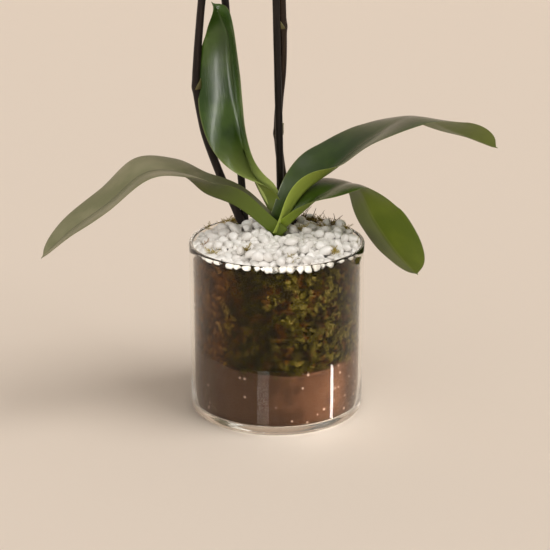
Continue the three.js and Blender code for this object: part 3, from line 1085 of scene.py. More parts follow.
@dataclass
class Filling:
    """Soil and moss inside the vase, seen through its wall."""

    vase: Vase
    soil_top: float = 60.0 * MM
    moss_top: float = 146.0 * MM
    sprigs: int = 4800
    seed: int = 11

    def soil(self) -> Piece:
        """Makes the soil, with an uneven upper edge and a finely lumpy side.

        Returns:
            The piece.
        """
        gap, corner = 0.3 * MM, self.vase.inside_corner
        radius, bottom = self.vase.inner - gap, self.vase.foot + gap
        profile = bend((radius - corner, bottom + corner), corner, -90, 0, 3)
        profile += [(radius, z) for z in np.linspace(bottom + 6 * MM, self.soil_top, 16)]
        profile += [(radius * share, self.soil_top) for share in (0.985, 0.95, 0.8, 0.5)]
        rings = turned(profile, 180)
        lumps = np.clip(wavy(rings, 60.0, 3), 0.0, 1.0)[..., None] * 0.5 * MM
        rings[..., :2] -= unit(rings[..., :2]) * lumps
        rings[..., 2] += self._soil_line(rings) * smooth_step(rings[..., 2], 0.02, self.soil_top)
        shape = Shape()
        shape.add(rings.reshape(-1, 3), lofted(rings))
        piece = shape.piece("soil", DampSoil().material())
        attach(piece, "root")
        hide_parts("soil_layer")
        return piece

    @staticmethod
    def _soil_line(rings: np.ndarray) -> np.ndarray:
        """How far the soil's uneven upper edge lies above its mean height, under each point."""
        return wavy(rings * (1.0, 1.0, 0.0), 14.0, 5) * 2.2 * MM - dip(around(rings.shape[1]))[None, :]

    def sprig(self, name: str, leaflets: int, length: float, curl: float, finish: Finish,
               seed: int) -> Piece:
        """One small moss sprig: a bent stem with narrow leaflets on both sides.

        Args:
            name: Its name.
            leaflets: Leaflets in all.
            length: Length of the stem.
            curl: How far the tip lifts.
            finish: Its material.
            seed: Which irregularity it gets.

        Returns:
            The sprig, lying along +X with its upper side towards +Z.
        """
        draw = np.random.default_rng(seed)
        shape = Shape()
        spine = np.array([[length * t, length * 0.10 * math.sin(3.0 * t + seed), curl * t * t]
                          for t in np.linspace(0.0, 1.0, 5)])
        half = 0.22 * MM
        for k in range(4):
            a, b = spine[k], spine[k + 1]
            side = np.array([0.0, half, 0.0])
            tops = np.array([a - side, a + side, b + side, b - side])
            shape.add(tops, [(0, 3, 2, 1)], number=np.full(4, 0.2))
        for i in range(leaflets):
            share = (i + 0.5) / leaflets
            root = np.array([np.interp(share, np.linspace(0, 1, 5), spine[:, k]) for k in range(3)])
            hand = 1.0 if i % 2 else -1.0
            reach = length * (0.36 * (1.0 - share) ** 0.7 + 0.10) * draw.uniform(0.75, 1.2)
            sweep_angle = math.radians(draw.uniform(38, 62))
            way = np.array([math.cos(sweep_angle), hand * math.sin(sweep_angle), draw.uniform(-0.1, 0.5)])
            across = unit(np.cross(way, (0.0, 0.0, 1.0))) * reach * 0.095
            middle = root + way * reach * 0.45
            shape.add(np.array([root, middle + across, root + way * reach, middle - across]),
                      [(0, 1, 2, 3)], number=np.full(4, draw.uniform(0.0, 1.0)))
        return shape.piece(name, finish, number_name="leaflet")

    def _core(self, finish: Finish) -> Piece:
        """The dark packed heart of the moss, which closes the gaps behind the sprigs; its dark tone is
        partly the packed moss's own colour and partly painted shade in those gaps.

        Args:
            finish: Its material.

        Returns:
            The piece.
        """
        radius = self.vase.inner - 2.2 * MM
        low, high = self.soil_top + 0.6 * MM, self.moss_top - 1.0 * MM
        profile = [(radius * 0.5, low), (radius * 0.9, low)]
        profile += [(radius, z) for z in np.linspace(low + 2 * MM, high, 44)]
        profile += [(radius * share, high + 0.6 * MM) for share in (0.97, 0.85, 0.6, 0.3)]
        rings = turned(profile, 160)
        lumps = wavy(rings, 95.0, 8) * 0.9 * MM + wavy(rings, 240.0, 9) * 0.5 * MM
        rings[..., :2] -= unit(rings[..., :2]) * np.clip(lumps, -1.2 * MM, 2.5 * MM)[..., None]
        above = smooth_step(rings[..., 2], self.soil_top + 2 * MM, self.soil_top + 30 * MM)
        rings[..., 2] += self._soil_line(rings) * (1.0 - above)
        shape = Shape()
        # A low tone keeps the core dark: partly the packed moss's own colour, partly painted shade behind
        # the sprigs.
        tone = np.clip(0.10 + 0.14 * wavy(rings, 120.0, 15), 0.0, 0.5)
        shape.add(rings.reshape(-1, 3), lofted(rings), number=tone.ravel())
        return shape.piece("moss_core", finish)

    def _side_places(self, draw: np.random.Generator, count: int) -> Places:
        """Sprigs pressed flat against the inside of the glass, denser towards the soil's edge and darker
        further in, as painted shade.

        Args:
            draw: Where the irregularity comes from.
            count: How many sprigs there are.

        Returns:
            Where the sprigs lie.
        """
        angle = draw.uniform(0.0, 2.0 * np.pi, count)
        bottom = self.soil_top - 0.002 - dip(angle)
        height = bottom + (self.moss_top - 3.5 * MM - bottom) * draw.uniform(0, 1, count) ** 0.95
        inward = draw.uniform(0.0, 1.0, count)
        depth = self.vase.inner - (0.5 + 3.0 * inward) * MM
        out = np.stack([np.cos(angle), np.sin(angle), np.zeros(count)], axis=1)
        at = out * depth[:, None] + np.stack([np.zeros(count), np.zeros(count), height], axis=1)
        turn = []
        for way in out:
            tangent = np.array([-way[1], way[0], 0.0])
            spin = draw.uniform(0.0, 2.0 * np.pi)
            x_axis = tangent * math.cos(spin) + np.array([0.0, 0.0, 1.0]) * math.sin(spin)
            turn.append(euler(x_axis, way + draw.normal(0.0, 0.28, 3)))
        size = draw.uniform(0.45, 0.92, count)[:, None] * np.ones((1, 3))
        # Sprigs further in from the glass get a darker tone: painted shade among the sprigs.
        tone = np.clip(draw.beta(2.0, 2.0, count) * 1.15 - 0.45 * inward, 0.0, 1.0)
        return Places(at, np.array(turn), size, tone, draw.integers(0, 4, count))

    def moss(self) -> list[Piece]:
        """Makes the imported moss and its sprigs.

        Returns:
            The core, the sprigs and the finer threads.
        """
        finish = Moss("moss_packed", MossTone.PACKED).material()
        core = self._core(finish)
        variants = [self.sprig(f"sprig_{k}", 11 + 2 * k, (8.0 + 1.1 * k) * MM, 0.5 * MM * k, finish, 20 + k)
                    for k in range(4)]
        draw = np.random.default_rng(self.seed)
        scatter = Scatter("scatter_moss", finish)
        places = self._side_places(draw, self.sprigs)
        sprigs = scatter.spread("moss_sprigs", places, variants, finish)
        fine = self._side_places(draw, self.sprigs)
        fine.size *= 0.62
        threads = scatter.spread("moss_threads", fine, variants, finish)
        for variant in variants:
            bpy.data.objects.remove(variant)
        keep_inside(sprigs, self.vase.inner - 0.15 * MM)
        keep_inside(threads, self.vase.inner - 0.10 * MM)
        for piece in (core, sprigs, threads):
            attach(piece, "root")
        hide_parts("moss_layer", "root_ball")
        return [core, sprigs, threads]


def dip(angle: np.ndarray) -> np.ndarray:
    """How far the soil lies lower towards the front of the vase, at each angle about its axis."""
    return 7.0 * MM * np.clip(-np.sin(angle), 0.0, 1.0) ** 3


def keep_inside(piece: Piece, radius: float) -> None:
    """Pulls every corner of a piece in to a radius about the vase's axis.

    Args:
        piece: The piece.
        radius: The largest radius that it may reach.
    """
    mesh = piece.data
    flat = np.zeros(len(mesh.vertices) * 3)
    mesh.vertices.foreach_get("co", flat)
    points = flat.reshape(-1, 3)
    reach = np.linalg.norm(points[:, :2], axis=1)
    over = reach > radius
    points[over, :2] *= (radius / reach[over])[:, None]
    mesh.vertices.foreach_set("co", points.ravel())
    mesh.update()


@dataclass
class Topping:
    """White pebbles over the moss, with sprigs of moss and dry twigs between them."""

    vase: Vase
    bed: float = 142.5 * MM
    mound: float = 6.0 * MM
    pebbles: int = 430
    largest: float = 4.9 * MM
    smallest: float = 2.9 * MM
    cover: float = 6.0 * MM
    twig_count: int = 34
    rounds: int = 160
    posts: tuple[tuple[float, float, float], ...] = (
        (-27, 32, 3.2), (4, 29.5, 3.2), (-31, 26, 2.8), (12, 35, 2.8), (1, 6, 9.0))
    seed: int = 4

    def _top(self, spot: np.ndarray) -> float:
        """The height of the pebbles' tops at a place."""
        share = 1.0 - (np.linalg.norm(spot) / self.vase.inner) ** 2
        return self.bed + self.cover + self.mound * share

    def settle(self) -> tuple[np.ndarray, np.ndarray]:
        """Lets round stones push each other apart on the mounded bed.

        They keep clear of the posts, which are the middles and radii in millimetres of the stakes, the
        spikes and the crown.

        Returns:
            Each stone's place and radius.
        """
        draw = np.random.default_rng(self.seed)
        count = self.pebbles
        radius = draw.uniform(self.smallest, self.largest, count)
        wall = self.vase.inner - 0.4 * MM
        spread = np.sqrt(draw.uniform(0.0, 1.0, count)) * (wall - radius)
        angle = draw.uniform(0.0, 2.0 * np.pi, count)
        at = np.stack([spread * np.cos(angle), spread * np.sin(angle),
                       self.bed + draw.uniform(4, 13, count) * MM], axis=1)
        for _ in range(self.rounds):
            at[:, 2] -= 0.25 * MM
            gap = at[:, None, :] - at[None, :, :]
            far = np.linalg.norm(gap, axis=2) + np.eye(count)
            overlap = np.clip((radius[:, None] + radius[None, :]) * 0.90 - far, 0.0, None)
            np.fill_diagonal(overlap, 0.0)
            at += 0.30 * (gap / far[..., None] * overlap[..., None]).sum(axis=1)
            for x, y, size in np.array(self.posts) * MM:
                away = at[:, :2] - (x, y)
                near = np.linalg.norm(away, axis=1)
                push = np.clip(size + radius * 0.85 - near, 0.0, None)
                at[:, :2] += away / near[:, None] * push[:, None]
            reach = np.linalg.norm(at[:, :2], axis=1)
            limit = wall - radius * 0.95
            over = reach > limit
            at[over, :2] *= (limit[over] / reach[over])[:, None]
            share = 1.0 - (np.linalg.norm(at[:, :2], axis=1) / wall) ** 2
            at[:, 2] = np.maximum(at[:, 2], self.bed + self.mound * share + radius * 0.75)
        return at, radius

    def _stone(self, name: str, finish: Finish, seed: int) -> Piece:
        """One unit stone: a ball worn flat on several sides.

        Args:
            name: Its name.
            finish: Its material.
            seed: Which sides are worn.

        Returns:
            The stone.
        """
        draw = np.random.default_rng(seed)
        points, faces = ball(8, 14)
        for _ in range(7):
            way, depth = unit(draw.normal(size=3)), draw.uniform(0.58, 0.85)
            over = np.clip(points @ way - depth, 0.0, None)
            points = points - over[:, None] * way * 0.85
        points = points * (1.0 + 0.06 * wavy(points, 0.25, seed)[:, None]) * 1.10
        shape = Shape()
        shape.add(points, faces)
        return shape.piece(name, finish, number_name="stone")

    def stones(self) -> Piece:
        """Makes the pebbles, which stand for their node.

        Returns:
            The piece.
        """
        finish = WhitePebble().material()
        at, radius = self.settle()
        draw = np.random.default_rng(self.seed + 1)
        count = len(at)
        tilt = draw.normal(0.0, 0.35, (count, 2))
        turn = np.stack([tilt[:, 0], tilt[:, 1], draw.uniform(0, 2 * np.pi, count)], axis=1)
        size = radius[:, None] * np.stack([draw.uniform(1.0, 1.36, count), draw.uniform(0.82, 1.05, count),
                                           draw.uniform(0.66, 0.92, count)], axis=1)
        variants = [self._stone(f"stone_{k}", finish, 40 + k) for k in range(7)]
        places = Places(at, turn, size, draw.uniform(0, 1, count), draw.integers(0, 7, count))
        piece = Scatter("scatter_pebbles", finish).spread("pebbles", places, variants, finish)
        for variant in variants:
            bpy.data.objects.remove(variant)
        keep_inside(piece, self.vase.inner - 0.2 * MM)
        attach(piece, "root")
        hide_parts("pebble_topping")
        return piece

    def _tuft_places(self, draw: np.random.Generator,
                     spots: Sequence[tuple[float, float, float, int]]) -> Places:
        """Sprigs that stand up between the pebbles.

        Args:
            draw: Where the irregularity comes from.
            spots: Each tuft's middle and radius in millimetres, and how many sprigs it has.

        Returns:
            Where the sprigs stand.
        """
        at, turn = [], []
        for x, y, radius, count in spots:
            for _ in range(count):
                offset = draw.normal(0.0, 0.5, 2) * radius
                place = np.array([x + offset[0], y + offset[1]]) * MM
                place *= min(1.0, (self.vase.inner - 4 * MM) / np.linalg.norm(place))
                at.append((*place, self._top(place) + draw.uniform(0.0, 2.5) * MM))
                heading, rise = draw.uniform(0, 2 * np.pi), draw.uniform(0.25, 1.1)
                flat = math.cos(rise)
                way = np.array([math.cos(heading) * flat, math.sin(heading) * flat, math.sin(rise)])
                turn.append(euler(way, np.array([-way[0], -way[1], 1.5]) + draw.normal(0, 0.3, 3)))
        count = len(at)
        size = draw.uniform(0.6, 1.0, count)[:, None] * np.ones((1, 3))
        tone = draw.uniform(0.65, 1.0, count)
        return Places(np.array(at), np.array(turn), size, tone, draw.integers(0, 4, count))

    def tufts(self, filling: Filling) -> list[Piece]:
        """Makes the moss that shows between the pebbles, green and rusty.

        Args:
            filling: What shapes the sprigs.

        Returns:
            The green tufts and the rusty ones.
        """
        made = []
        for name, tone, spots in (
            ("tufts_green", MossTone.FRESH, (
                (-38, 44, 7, 30), (-47, 40, 5, 14), (-65, 33, 3, 7), (-25, -42, 3.5, 14), (52, 42, 6, 20),
                (60, 22, 4, 10), (40, 30, 4, 10), (10, -60, 4, 7), (48, -42, 5, 10), (-52, -40, 3, 6),
                (20, 12, 3, 6), (-12, 62, 6, 14), (66, -12, 3, 6))),
            ("tufts_rusty", MossTone.RUSTY, (
                (24, 46, 7, 44), (34, 50, 6, 26), (44, 44, 6, 18), (16, 52, 5, 14), (-62, -20, 3, 5))),
        ):
            finish = Moss(name, tone).material()
            variants = [filling.sprig(f"tuft_{k}", 11 + 2 * k, (7.0 + k) * MM, 1.2 * MM, finish, 60 + k)
                        for k in range(4)]
            places = self._tuft_places(np.random.default_rng(self.seed + len(made) + 7), spots)
            piece = Scatter("scatter_" + name, finish).spread(name, places, variants, finish)
            for variant in variants:
                bpy.data.objects.remove(variant)
            keep_inside(piece, self.vase.inner - 0.3 * MM)
            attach(piece, "root")
            made.append(piece)
        return made

    def twigs(self) -> Piece:
        """Makes the dry twigs and fibres that stick out of the topping behind the plant.

        Returns:
            The piece.
        """
        draw, steps = np.random.default_rng(self.seed + 3), 12
        shape = Shape()
        for _ in range(self.twig_count):
            start = np.array([draw.uniform(14, 56), draw.uniform(36, 52)]) * MM
            start *= min(1.0, (self.vase.inner - 6 * MM) / np.linalg.norm(start))
            base = np.array([*start, self._top(start)])
            heading, rise = draw.uniform(0, 2 * np.pi), draw.uniform(0.2, 1.35)
            length = draw.uniform(9, 21) * MM
            flat = np.array([math.cos(heading), math.sin(heading), 0.0])
            way = flat * math.cos(rise) + np.array([0.0, 0.0, math.sin(rise)])
            sag = np.cross(way, (0.0, 0.0, 1.0)) * draw.normal(0.0, 0.3) - np.array([0.0, 0.0, 0.25])
            middle = base + way * length * 0.5 + sag * length * 0.05
            path, = even([base, middle, base + way * length + sag * length * 0.5], steps)
            room = self.vase.inner - 1.5 * MM
            reach = np.maximum(np.linalg.norm(path[:, :2], axis=1), 1e-6)
            path[:, :2] *= np.minimum(1.0, room / reach)[:, None]
            thick = draw.uniform(0.22, 0.5) * MM
            sweep(shape, path, round_ends(thick * np.linspace(1.0, 0.5, steps), path), 6)
        skin = StemSkin("dry_twig", (0.085, 0.050, 0.022), (0.36, 0.26, 0.12), 0.7, 0.9)
        piece = shape.piece("twigs", skin.material())
        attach(piece, "root")
        return piece


# ---- Leaves ----


@dataclass(frozen=True)
class Stop:
    """One stop along a midrib, in millimetres from the rim's middle: place, facing and fold."""

    at: tuple[float, float, float]
    face: tuple[float, float, float]
    fold: float


@dataclass
class Leaf:
    """One leaf: a midrib through its stops, a width along it and two halves that fold up."""

    name: str
    stops: tuple[Stop, ...]
    width: float
    neck: float
    widest: float
    tip_fall: float
    tip_round: float
    skin: LeafSkin
    thickness: float = 1.9 * MM
    crease: float = 0.07
    beak: float = 0.012
    rows: int = 130
    columns: int = 26
    waves: float = 0.5 * MM
    puff: float = 1.0 * MM
    groove: float = 0.50 * MM
    rib: float = 0.60 * MM
    seed: int = 1

    def half_width(self, t: np.ndarray) -> np.ndarray:
        """Half the leaf's width at each share of its length.

        Args:
            t: Shares of the leaf's length.

        Returns:
            The half widths.
        """
        grow = self.neck + (1.0 - self.neck) * smooth_step(t, 0.04, self.widest)
        past = np.clip((t - self.widest) / (1.0 - self.beak - self.widest), 0.0, 1.0)
        blade = self.width / 2 * grow * (1.0 - past ** self.tip_fall) ** (1.0 / self.tip_round)
        point = 1.5 * MM * np.clip((1.0 - t) / (self.beak + 0.01), 0.1, 1.0) ** 0.7
        return np.maximum(point, blade)

    def _midrib(self) -> tuple[np.ndarray, np.ndarray, np.ndarray, np.ndarray]:
        """Lays the midrib out in even rows.

        Returns:
            Its points, the ways to the leaf's side, the ways it faces, and its folds.
        """
        places = np.array([stop.at for stop in self.stops]) * MM + (0.0, 0.0, RIM)
        faces, folds = [stop.face for stop in self.stops], [[stop.fold] for stop in self.stops]
        spine, facing, fold = even(places, self.rows, faces, folds)
        along = unit(np.gradient(spine, axis=0))
        facing = unit(facing - along * (facing * along).sum(axis=1, keepdims=True))
        side = unit(blurred(np.cross(along, facing), 5.0))
        side = unit(side - along * (side * along).sum(axis=1, keepdims=True))
        return spine, side, np.cross(side, along), np.radians(fold)

    def _sheet(self, t: np.ndarray, s: np.ndarray) -> tuple[np.ndarray, np.ndarray]:
        """Spreads the two folded halves out from the midrib, puffed up and waved at their edges.

        Args:
            t: Shares of the leaf's length.
            s: Places across it from -1 to 1, as one row.

        Returns:
            The points of its middle surface, and the way it faces at each.
        """
        spine, side, facing, angle = self._midrib()
        half = self.half_width(t)[:, None]
        root = np.sqrt(s * s + self.crease ** 2)
        crest = math.sqrt(1.0 + self.crease ** 2) - self.crease
        out, lift = half * s * np.cos(angle), half * (root - self.crease) * np.sin(angle) / crest
        slope = np.sin(angle) * s / root / crest
        normal = unit(facing[:, None] * np.cos(angle)[..., None] - side[:, None] * slope[..., None])
        sheet = spine[:, None] + side[:, None] * out[..., None] + facing[:, None] * lift[..., None]
        arch = (1.0 - (2.0 * np.abs(s) - 1.0) ** 2) * np.sin(np.pi * t)[:, None]
        sheet = sheet + normal * (arch * self.puff)[..., None]
        edge = np.abs(s) ** 3 * smooth_step(t, 0.1, 0.4)[:, None] * smooth_step(1.0 - t, 0.0, 0.15)[:, None]
        return sheet + normal * (wavy(sheet, 11.0, self.seed) * edge * self.waves)[..., None], normal

    def build(self) -> Piece:
        """Makes the leaf, which stands for its node.

        Returns:
            The piece.
        """
        t = np.linspace(0.0, 1.0, self.rows)
        s = np.sin(np.linspace(-0.5 * np.pi, 0.5 * np.pi, self.columns))[None, :]
        sheet, normal = self._sheet(t, s)
        rounded = np.sqrt(np.clip(1.0 - np.abs(s) ** 5, 0.02, 1.0))
        thick = self.thickness / 2 * rounded * (1.0 - 0.35 * np.abs(s))
        thick = thick * np.clip((1.0 - t) / 0.02, 0.25, 1.0)[:, None]
        middle = np.exp(-(s / 0.055) ** 2) * np.clip(1.25 - t, 0.0, 1.0)[:, None]
        upper = sheet + normal * (thick - self.groove * middle)[..., None]
        lower = sheet - normal * (thick + self.rib * middle)[..., None]
        rings = np.concatenate([upper, lower[:, ::-1]], axis=1)
        across = np.concatenate([(s + 1) / 2, (s[:, ::-1] + 1) / 2], axis=1)
        surface = np.stack(np.broadcast_arrays(across, t[:, None]), axis=-1)
        top = np.tile(np.repeat([1.0, 0.0], self.columns), self.rows)
        faces = sheet_faces(self.rows, self.columns)
        shape = Shape()
        shape.add(rings.reshape(-1, 3), faces, surface.reshape(-1, 2), top)
        piece = shape.piece(self.name, self.skin.material(), number_name="upper")
        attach(piece, "root")
        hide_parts("leaf_" + self.name.removeprefix("blade_"))
        return piece


def foliage() -> list[Leaf]:
    """The four leaves, each with its own stops and skin.

    Returns:
        The leaves.
    """
    return [
        Leaf("blade_left", (
            Stop((1, 1, 1), (-0.3, 0, 0.95), 66), Stop((-32, -1, 29), (-0.2, -0.1, 1), 66),
            Stop((-60, -8, 44), (0, 0, 1), 38), Stop((-80, -15, 62), (-0.1, -0.1, 1), 12),
            Stop((-109, -25, 64.5), (-0.25, -0.1, 0.95), 10), Stop((-139, -33, 41), (-0.55, -0.15, 0.8), 10),
            Stop((-169, -37, 20), (-0.7, -0.2, 0.7), 12), Stop((-195, -45, -2), (-0.7, -0.3, 0.65), 16),
        ), width=63 * MM, neck=0.44, widest=0.58, tip_fall=2.3, tip_round=1.66, seed=2, skin=LeafSkin(
            # The upper colours are a pale grey olive: painted sheen of the pale surroundings over the leaf's
            # own green.
            "leaf_low_left", upper=(0.190, 0.180, 0.100), upper_deep=(0.125, 0.128, 0.060),
            under=(0.048, 0.052, 0.009), under_deep=(0.036, 0.041, 0.007), crown=(0.085, 0.122, 0.010),
            polish=0.42)),
        Leaf("blade_upright", (
            Stop((-3, 8, 5), (0.8, 0.1, 0.5), 80), Stop((-7, 8, 23), (0.8, 0.2, 0.4), 78),
            Stop((-19, 13, 50), (0.1, -0.65, 0.45), 73), Stop((-28, 15, 82), (-0.55, -0.8, 0.25), 51),
            Stop((-33, 20, 112), (-0.7, -0.75, 0.1), 39), Stop((-37, 25, 141), (-0.7, -0.75, 0), 34),
            Stop((-41, 25, 174), (-0.5, -0.6, -0.15), 34), Stop((-54, 23, 199), (0.6, 0, -0.35), 36),
        ), width=66 * MM, neck=0.37, widest=0.56, tip_fall=1.75, tip_round=1.6, puff=2.6 * MM, seed=3,
            # The bright crown colour, laid mostly on the upper side, is partly the leaf's paler base and
            # partly painted light on the lit lower blade.
            skin=LeafSkin("leaf_upright", crown=(0.430, 0.500, 0.150), crown_above=0.95, crown_below=0.10,
                          polish=0.15)),
        Leaf("blade_upper_right", (
            Stop((1, 5, 5), (0.15, -0.35, 0.95), 69), Stop((22, 8, 39), (-0.25, -0.2, 0.9), 58),
            Stop((51, 14, 61), (-0.35, -0.15, 0.9), 23), Stop((80, 17, 84), (-0.2, 0, 1), 9),
            Stop((116, 25, 101), (0, 0.15, 1), -5), Stop((152, 33, 87), (0.15, 0.4, 0.9), 8),
            Stop((190, 34, 72), (0.4, 0.55, 0.7), 29),
        ), width=72 * MM, neck=0.40, widest=0.40, tip_fall=2.75, tip_round=1.9, seed=4, skin=LeafSkin(
            "leaf_upper_right", upper=(0.030, 0.054, 0.009), upper_deep=(0.014, 0.030, 0.005),
            # The crown colour is partly the leaf's paler base and partly painted light shining through the
            # underside flap near the crown.
            under=(0.120, 0.145, 0.025), under_deep=(0.085, 0.110, 0.015), crown=(0.440, 0.560, 0.095),
            crown_above=0.02, polish=0.32)),
        Leaf("blade_lower_right", (
            Stop((4, 3, 7), (0.05, -0.05, 1), 65), Stop((21, 5, 23), (-0.1, -0.1, 1), 46),
            Stop((39, 9, 37), (-0.05, -0.15, 0.95), 16), Stop((67, 19, 43), (0.25, 0.25, 0.85), -2),
            Stop((85, 14, 13), (0.6, 0.6, 0.4), 9), Stop((102.5, 6, -11), (0.75, 0.6, 0.2), 13),
            Stop((122, 4, -33), (0.75, 0.62, 0.2), 10),
        ), width=67 * MM, neck=0.36, widest=0.61, tip_fall=2.9, tip_round=2.05, seed=5, skin=LeafSkin()),
    ]


# ---- Spikes, stakes and clips ----


class Side(Enum):
    """Which of the two flower spikes."""

    LEFT = "left"
    RIGHT = "right"


@dataclass
class Spike:
    """A flower spike with its nodes, bracts, flower stalks and the stake it is clipped to."""

    side: Side
    path: tuple[tuple[float, float, float], ...]
    foot: tuple[float, float]
    lean: tuple[float, float]
    nodes: tuple[float, ...]
    diameter: float = 6.8 * MM
    stake_diameter: float = 6.4 * MM
    stake_foot: float = -82.0
    stake_top: float = 372.0
    clip_height: float = 350.0
    blooms: tuple[tuple[float, float, float], ...] = (
        (0.74, 26, 17), (0.795, -24, 34), (0.85, 26, 17), (0.912, -22, 24))
    buds: tuple[tuple[float, float, float], ...] = ((0.945, 14, 9), (0.97, -12, 6), (0.992, 9, 6))

    def __post_init__(self) -> None:
        """Lays the spike's line out at even steps."""
        self.line, = even([(x * MM, y * MM, z * MM + RIM) for x, y, z in self.path], 420)
        self.along = unit(np.gradient(self.line, axis=0))

    def stake_at(self, height: float) -> np.ndarray:
        """The stake's axis at a height in millimetres above the rim."""
        return np.array([(self.foot[0] + self.lean[0] * height) * MM,
                         (self.foot[1] + self.lean[1] * height) * MM, RIM + height * MM])

    def node_share(self, height: float) -> float:
        """The share of the spike's length where it first passes a height above the rim."""
        return float(np.argmax(self.line[:, 2] > RIM + height * MM)) / (len(self.line) - 1)

    def radius(self) -> np.ndarray:
        """The spike's radius along it, with a swelling at each node.

        Returns:
            The radius at each point of the spike's line.
        """
        t = np.linspace(0.0, 1.0, len(self.line))
        taper = self.diameter / 2 * (1.06 - 0.5 * t ** 1.5)
        swell = sum(np.exp(-((t - self.node_share(h)) / 0.006) ** 2) for h in self.nodes)
        return taper * (1.0 + 0.22 * swell)

    def stand(self, share: float, reach: float, forward: float) -> tuple[np.ndarray, np.ndarray, np.ndarray]:
        """Where a flower or a bud stands.

        Args:
            share: The share of the spike's length where its stalk leaves.
            reach: How far above or below the spike it stands, in millimetres.
            forward: How far in front of the spike it stands, in millimetres.

        Returns:
            The stalk's base, its end and the way the flower faces.
        """
        index = int(round(share * (len(self.line) - 1)))
        base, along = self.line[index], self.along[index]
        nod, hand = -0.12, -1.0 if along[0] > 0 else 1.0
        front = unit(np.array([along[1] * hand, -along[0] * hand, nod]))
        if front[1] > 0:
            front = unit(np.array([-front[0], -front[1], nod]))
        outward = -1.0 if self.side is Side.LEFT else 1.0
        across = unit(np.cross(along, front)) * -outward
        return base, base + (across * reach + front * forward) * MM, front

    def build(self) -> list[Piece]:
        """Makes the spike with its stalks, its bracts, its stake and its clip.

        Returns:
            The four pieces.
        """
        name = self.side.value
        shape = Shape()
        sweep(shape, self.line, round_ends(self.radius(), self.line), 18)
        for share, reach, forward in self.blooms:
            self._stalk(shape, share, reach, forward, 5.0, 1.35 * MM)
        for share, reach, forward in self.buds:
            self._stalk(shape, share, reach, forward, 4.0, 1.0 * MM)
        purple, brown = (((0.012, 0.008, 0.007), (0.050, 0.034, 0.030)),
                         ((0.020, 0.012, 0.007), (0.075, 0.048, 0.024)))
        skin = StemSkin(f"spike_skin_{name}", *(purple if self.side is Side.LEFT else brown))
        spike = shape.piece(f"stem_{name}", skin.material())
        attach(spike, "root")
        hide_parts(f"spike_{name}")
        return [spike, self._bracts(), self._stake(), self._clip()]

    def _stalk(self, shape: Shape, share: float, reach: float, forward: float, short: float,
               thick: float) -> None:
        """Adds one flower stalk, which bends round to meet the flower from behind.

        Args:
            shape: Where the stalk goes.
            share: The share of the spike's length where it leaves.
            reach: How far above or below the spike its flower stands, in millimetres.
            forward: How far in front of the spike it stands, in millimetres.
            short: How far behind the flower the stalk ends, in millimetres.
            thick: Its radius.
        """
        steps = 22
        base, end, front = self.stand(share, reach, forward)
        behind = (end - front * 9 * MM) * 0.88 + base * 0.12
        middle = (base + behind) / 2 - front * 1.5 * MM
        path, = even([base, middle, behind, end - front * short * MM], steps)
        t = np.linspace(0.0, 1.0, steps)
        sweep(shape, path, round_ends(thick * (1.15 - 0.35 * np.sin(np.pi * t)), path, False, True), 10)

    def _bracts(self) -> Piece:
        """The papery sheath that hugs the spike above each node.

        Returns:
            The piece.
        """
        shape = Shape()
        radius = self.radius()
        _, first, second = frames_along(self.line)
        rows, columns, span = 10, 13, 7
        for k, height in enumerate(self.nodes):
            start = int(self.node_share(height) * (len(self.line) - 1))
            turn = 2.4 + k * math.pi if self.side is Side.LEFT else 0.2 + k * math.pi
            grid = np.zeros((rows, 2 * columns, 3))
            surface = np.zeros((rows, 2 * columns, 2))
            for r in range(rows):
                t = r / (rows - 1)
                index = start - 1 + t * span
                low = int(index)
                centre = self.line[low] + (self.line[low + 1] - self.line[low]) * (index - low)
                wide = 2.1 * (1.0 - t ** 1.6) + 0.05
                for c in range(columns):
                    s = 2 * c / (columns - 1) - 1
                    angle = turn + s * wide
                    way = first[low] * math.cos(angle) + second[low] * math.sin(angle)
                    stand_off = radius[low] + (0.25 + 1.1 * t * (1 - s * s)) * MM
                    grid[r, c] = centre + way * (stand_off + 0.30 * MM)
                    grid[r, 2 * columns - 1 - c] = centre + way * stand_off
                    surface[r, c] = surface[r, 2 * columns - 1 - c] = (c / (columns - 1), t)
            faces = [face[::-1] for face in sheet_faces(rows, columns)]
            shape.add(grid.reshape(-1, 3), faces, surface.reshape(-1, 2))
        skin = GradedSkin(f"bract_skin_{self.side.value}", (0.10, 0.085, 0.03), (0.16, 0.15, 0.05),
                          (0.05, 0.03, 0.015), 0.6)
        piece = shape.piece(f"bracts_{self.side.value}", skin.material())
        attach(piece, "root")
        return piece

    def _stake(self) -> Piece:
        """The straight dark stake.

        Returns:
            The piece.
        """
        ends = np.array([self.stake_at(self.stake_foot), self.stake_at(self.stake_top)])
        t = np.linspace(0.0, 1.0, 60)[:, None]
        path = ends[0] * (1 - t) + ends[1] * t
        radius = self.stake_diameter / 2 * (1.0 + 0.02 * wavy(path, 40.0, 6))
        shape = Shape()
        sweep(shape, path, round_ends(radius, path), 20)
        skin = StemSkin(f"stake_skin_{self.side.value}", (0.009, 0.007, 0.006), (0.032, 0.024, 0.020),
                        0.45, 0.6)
        piece = shape.piece(f"rod_{self.side.value}", skin.material())
        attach(piece, "root")
        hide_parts(f"stake_{self.side.value}")
        return piece

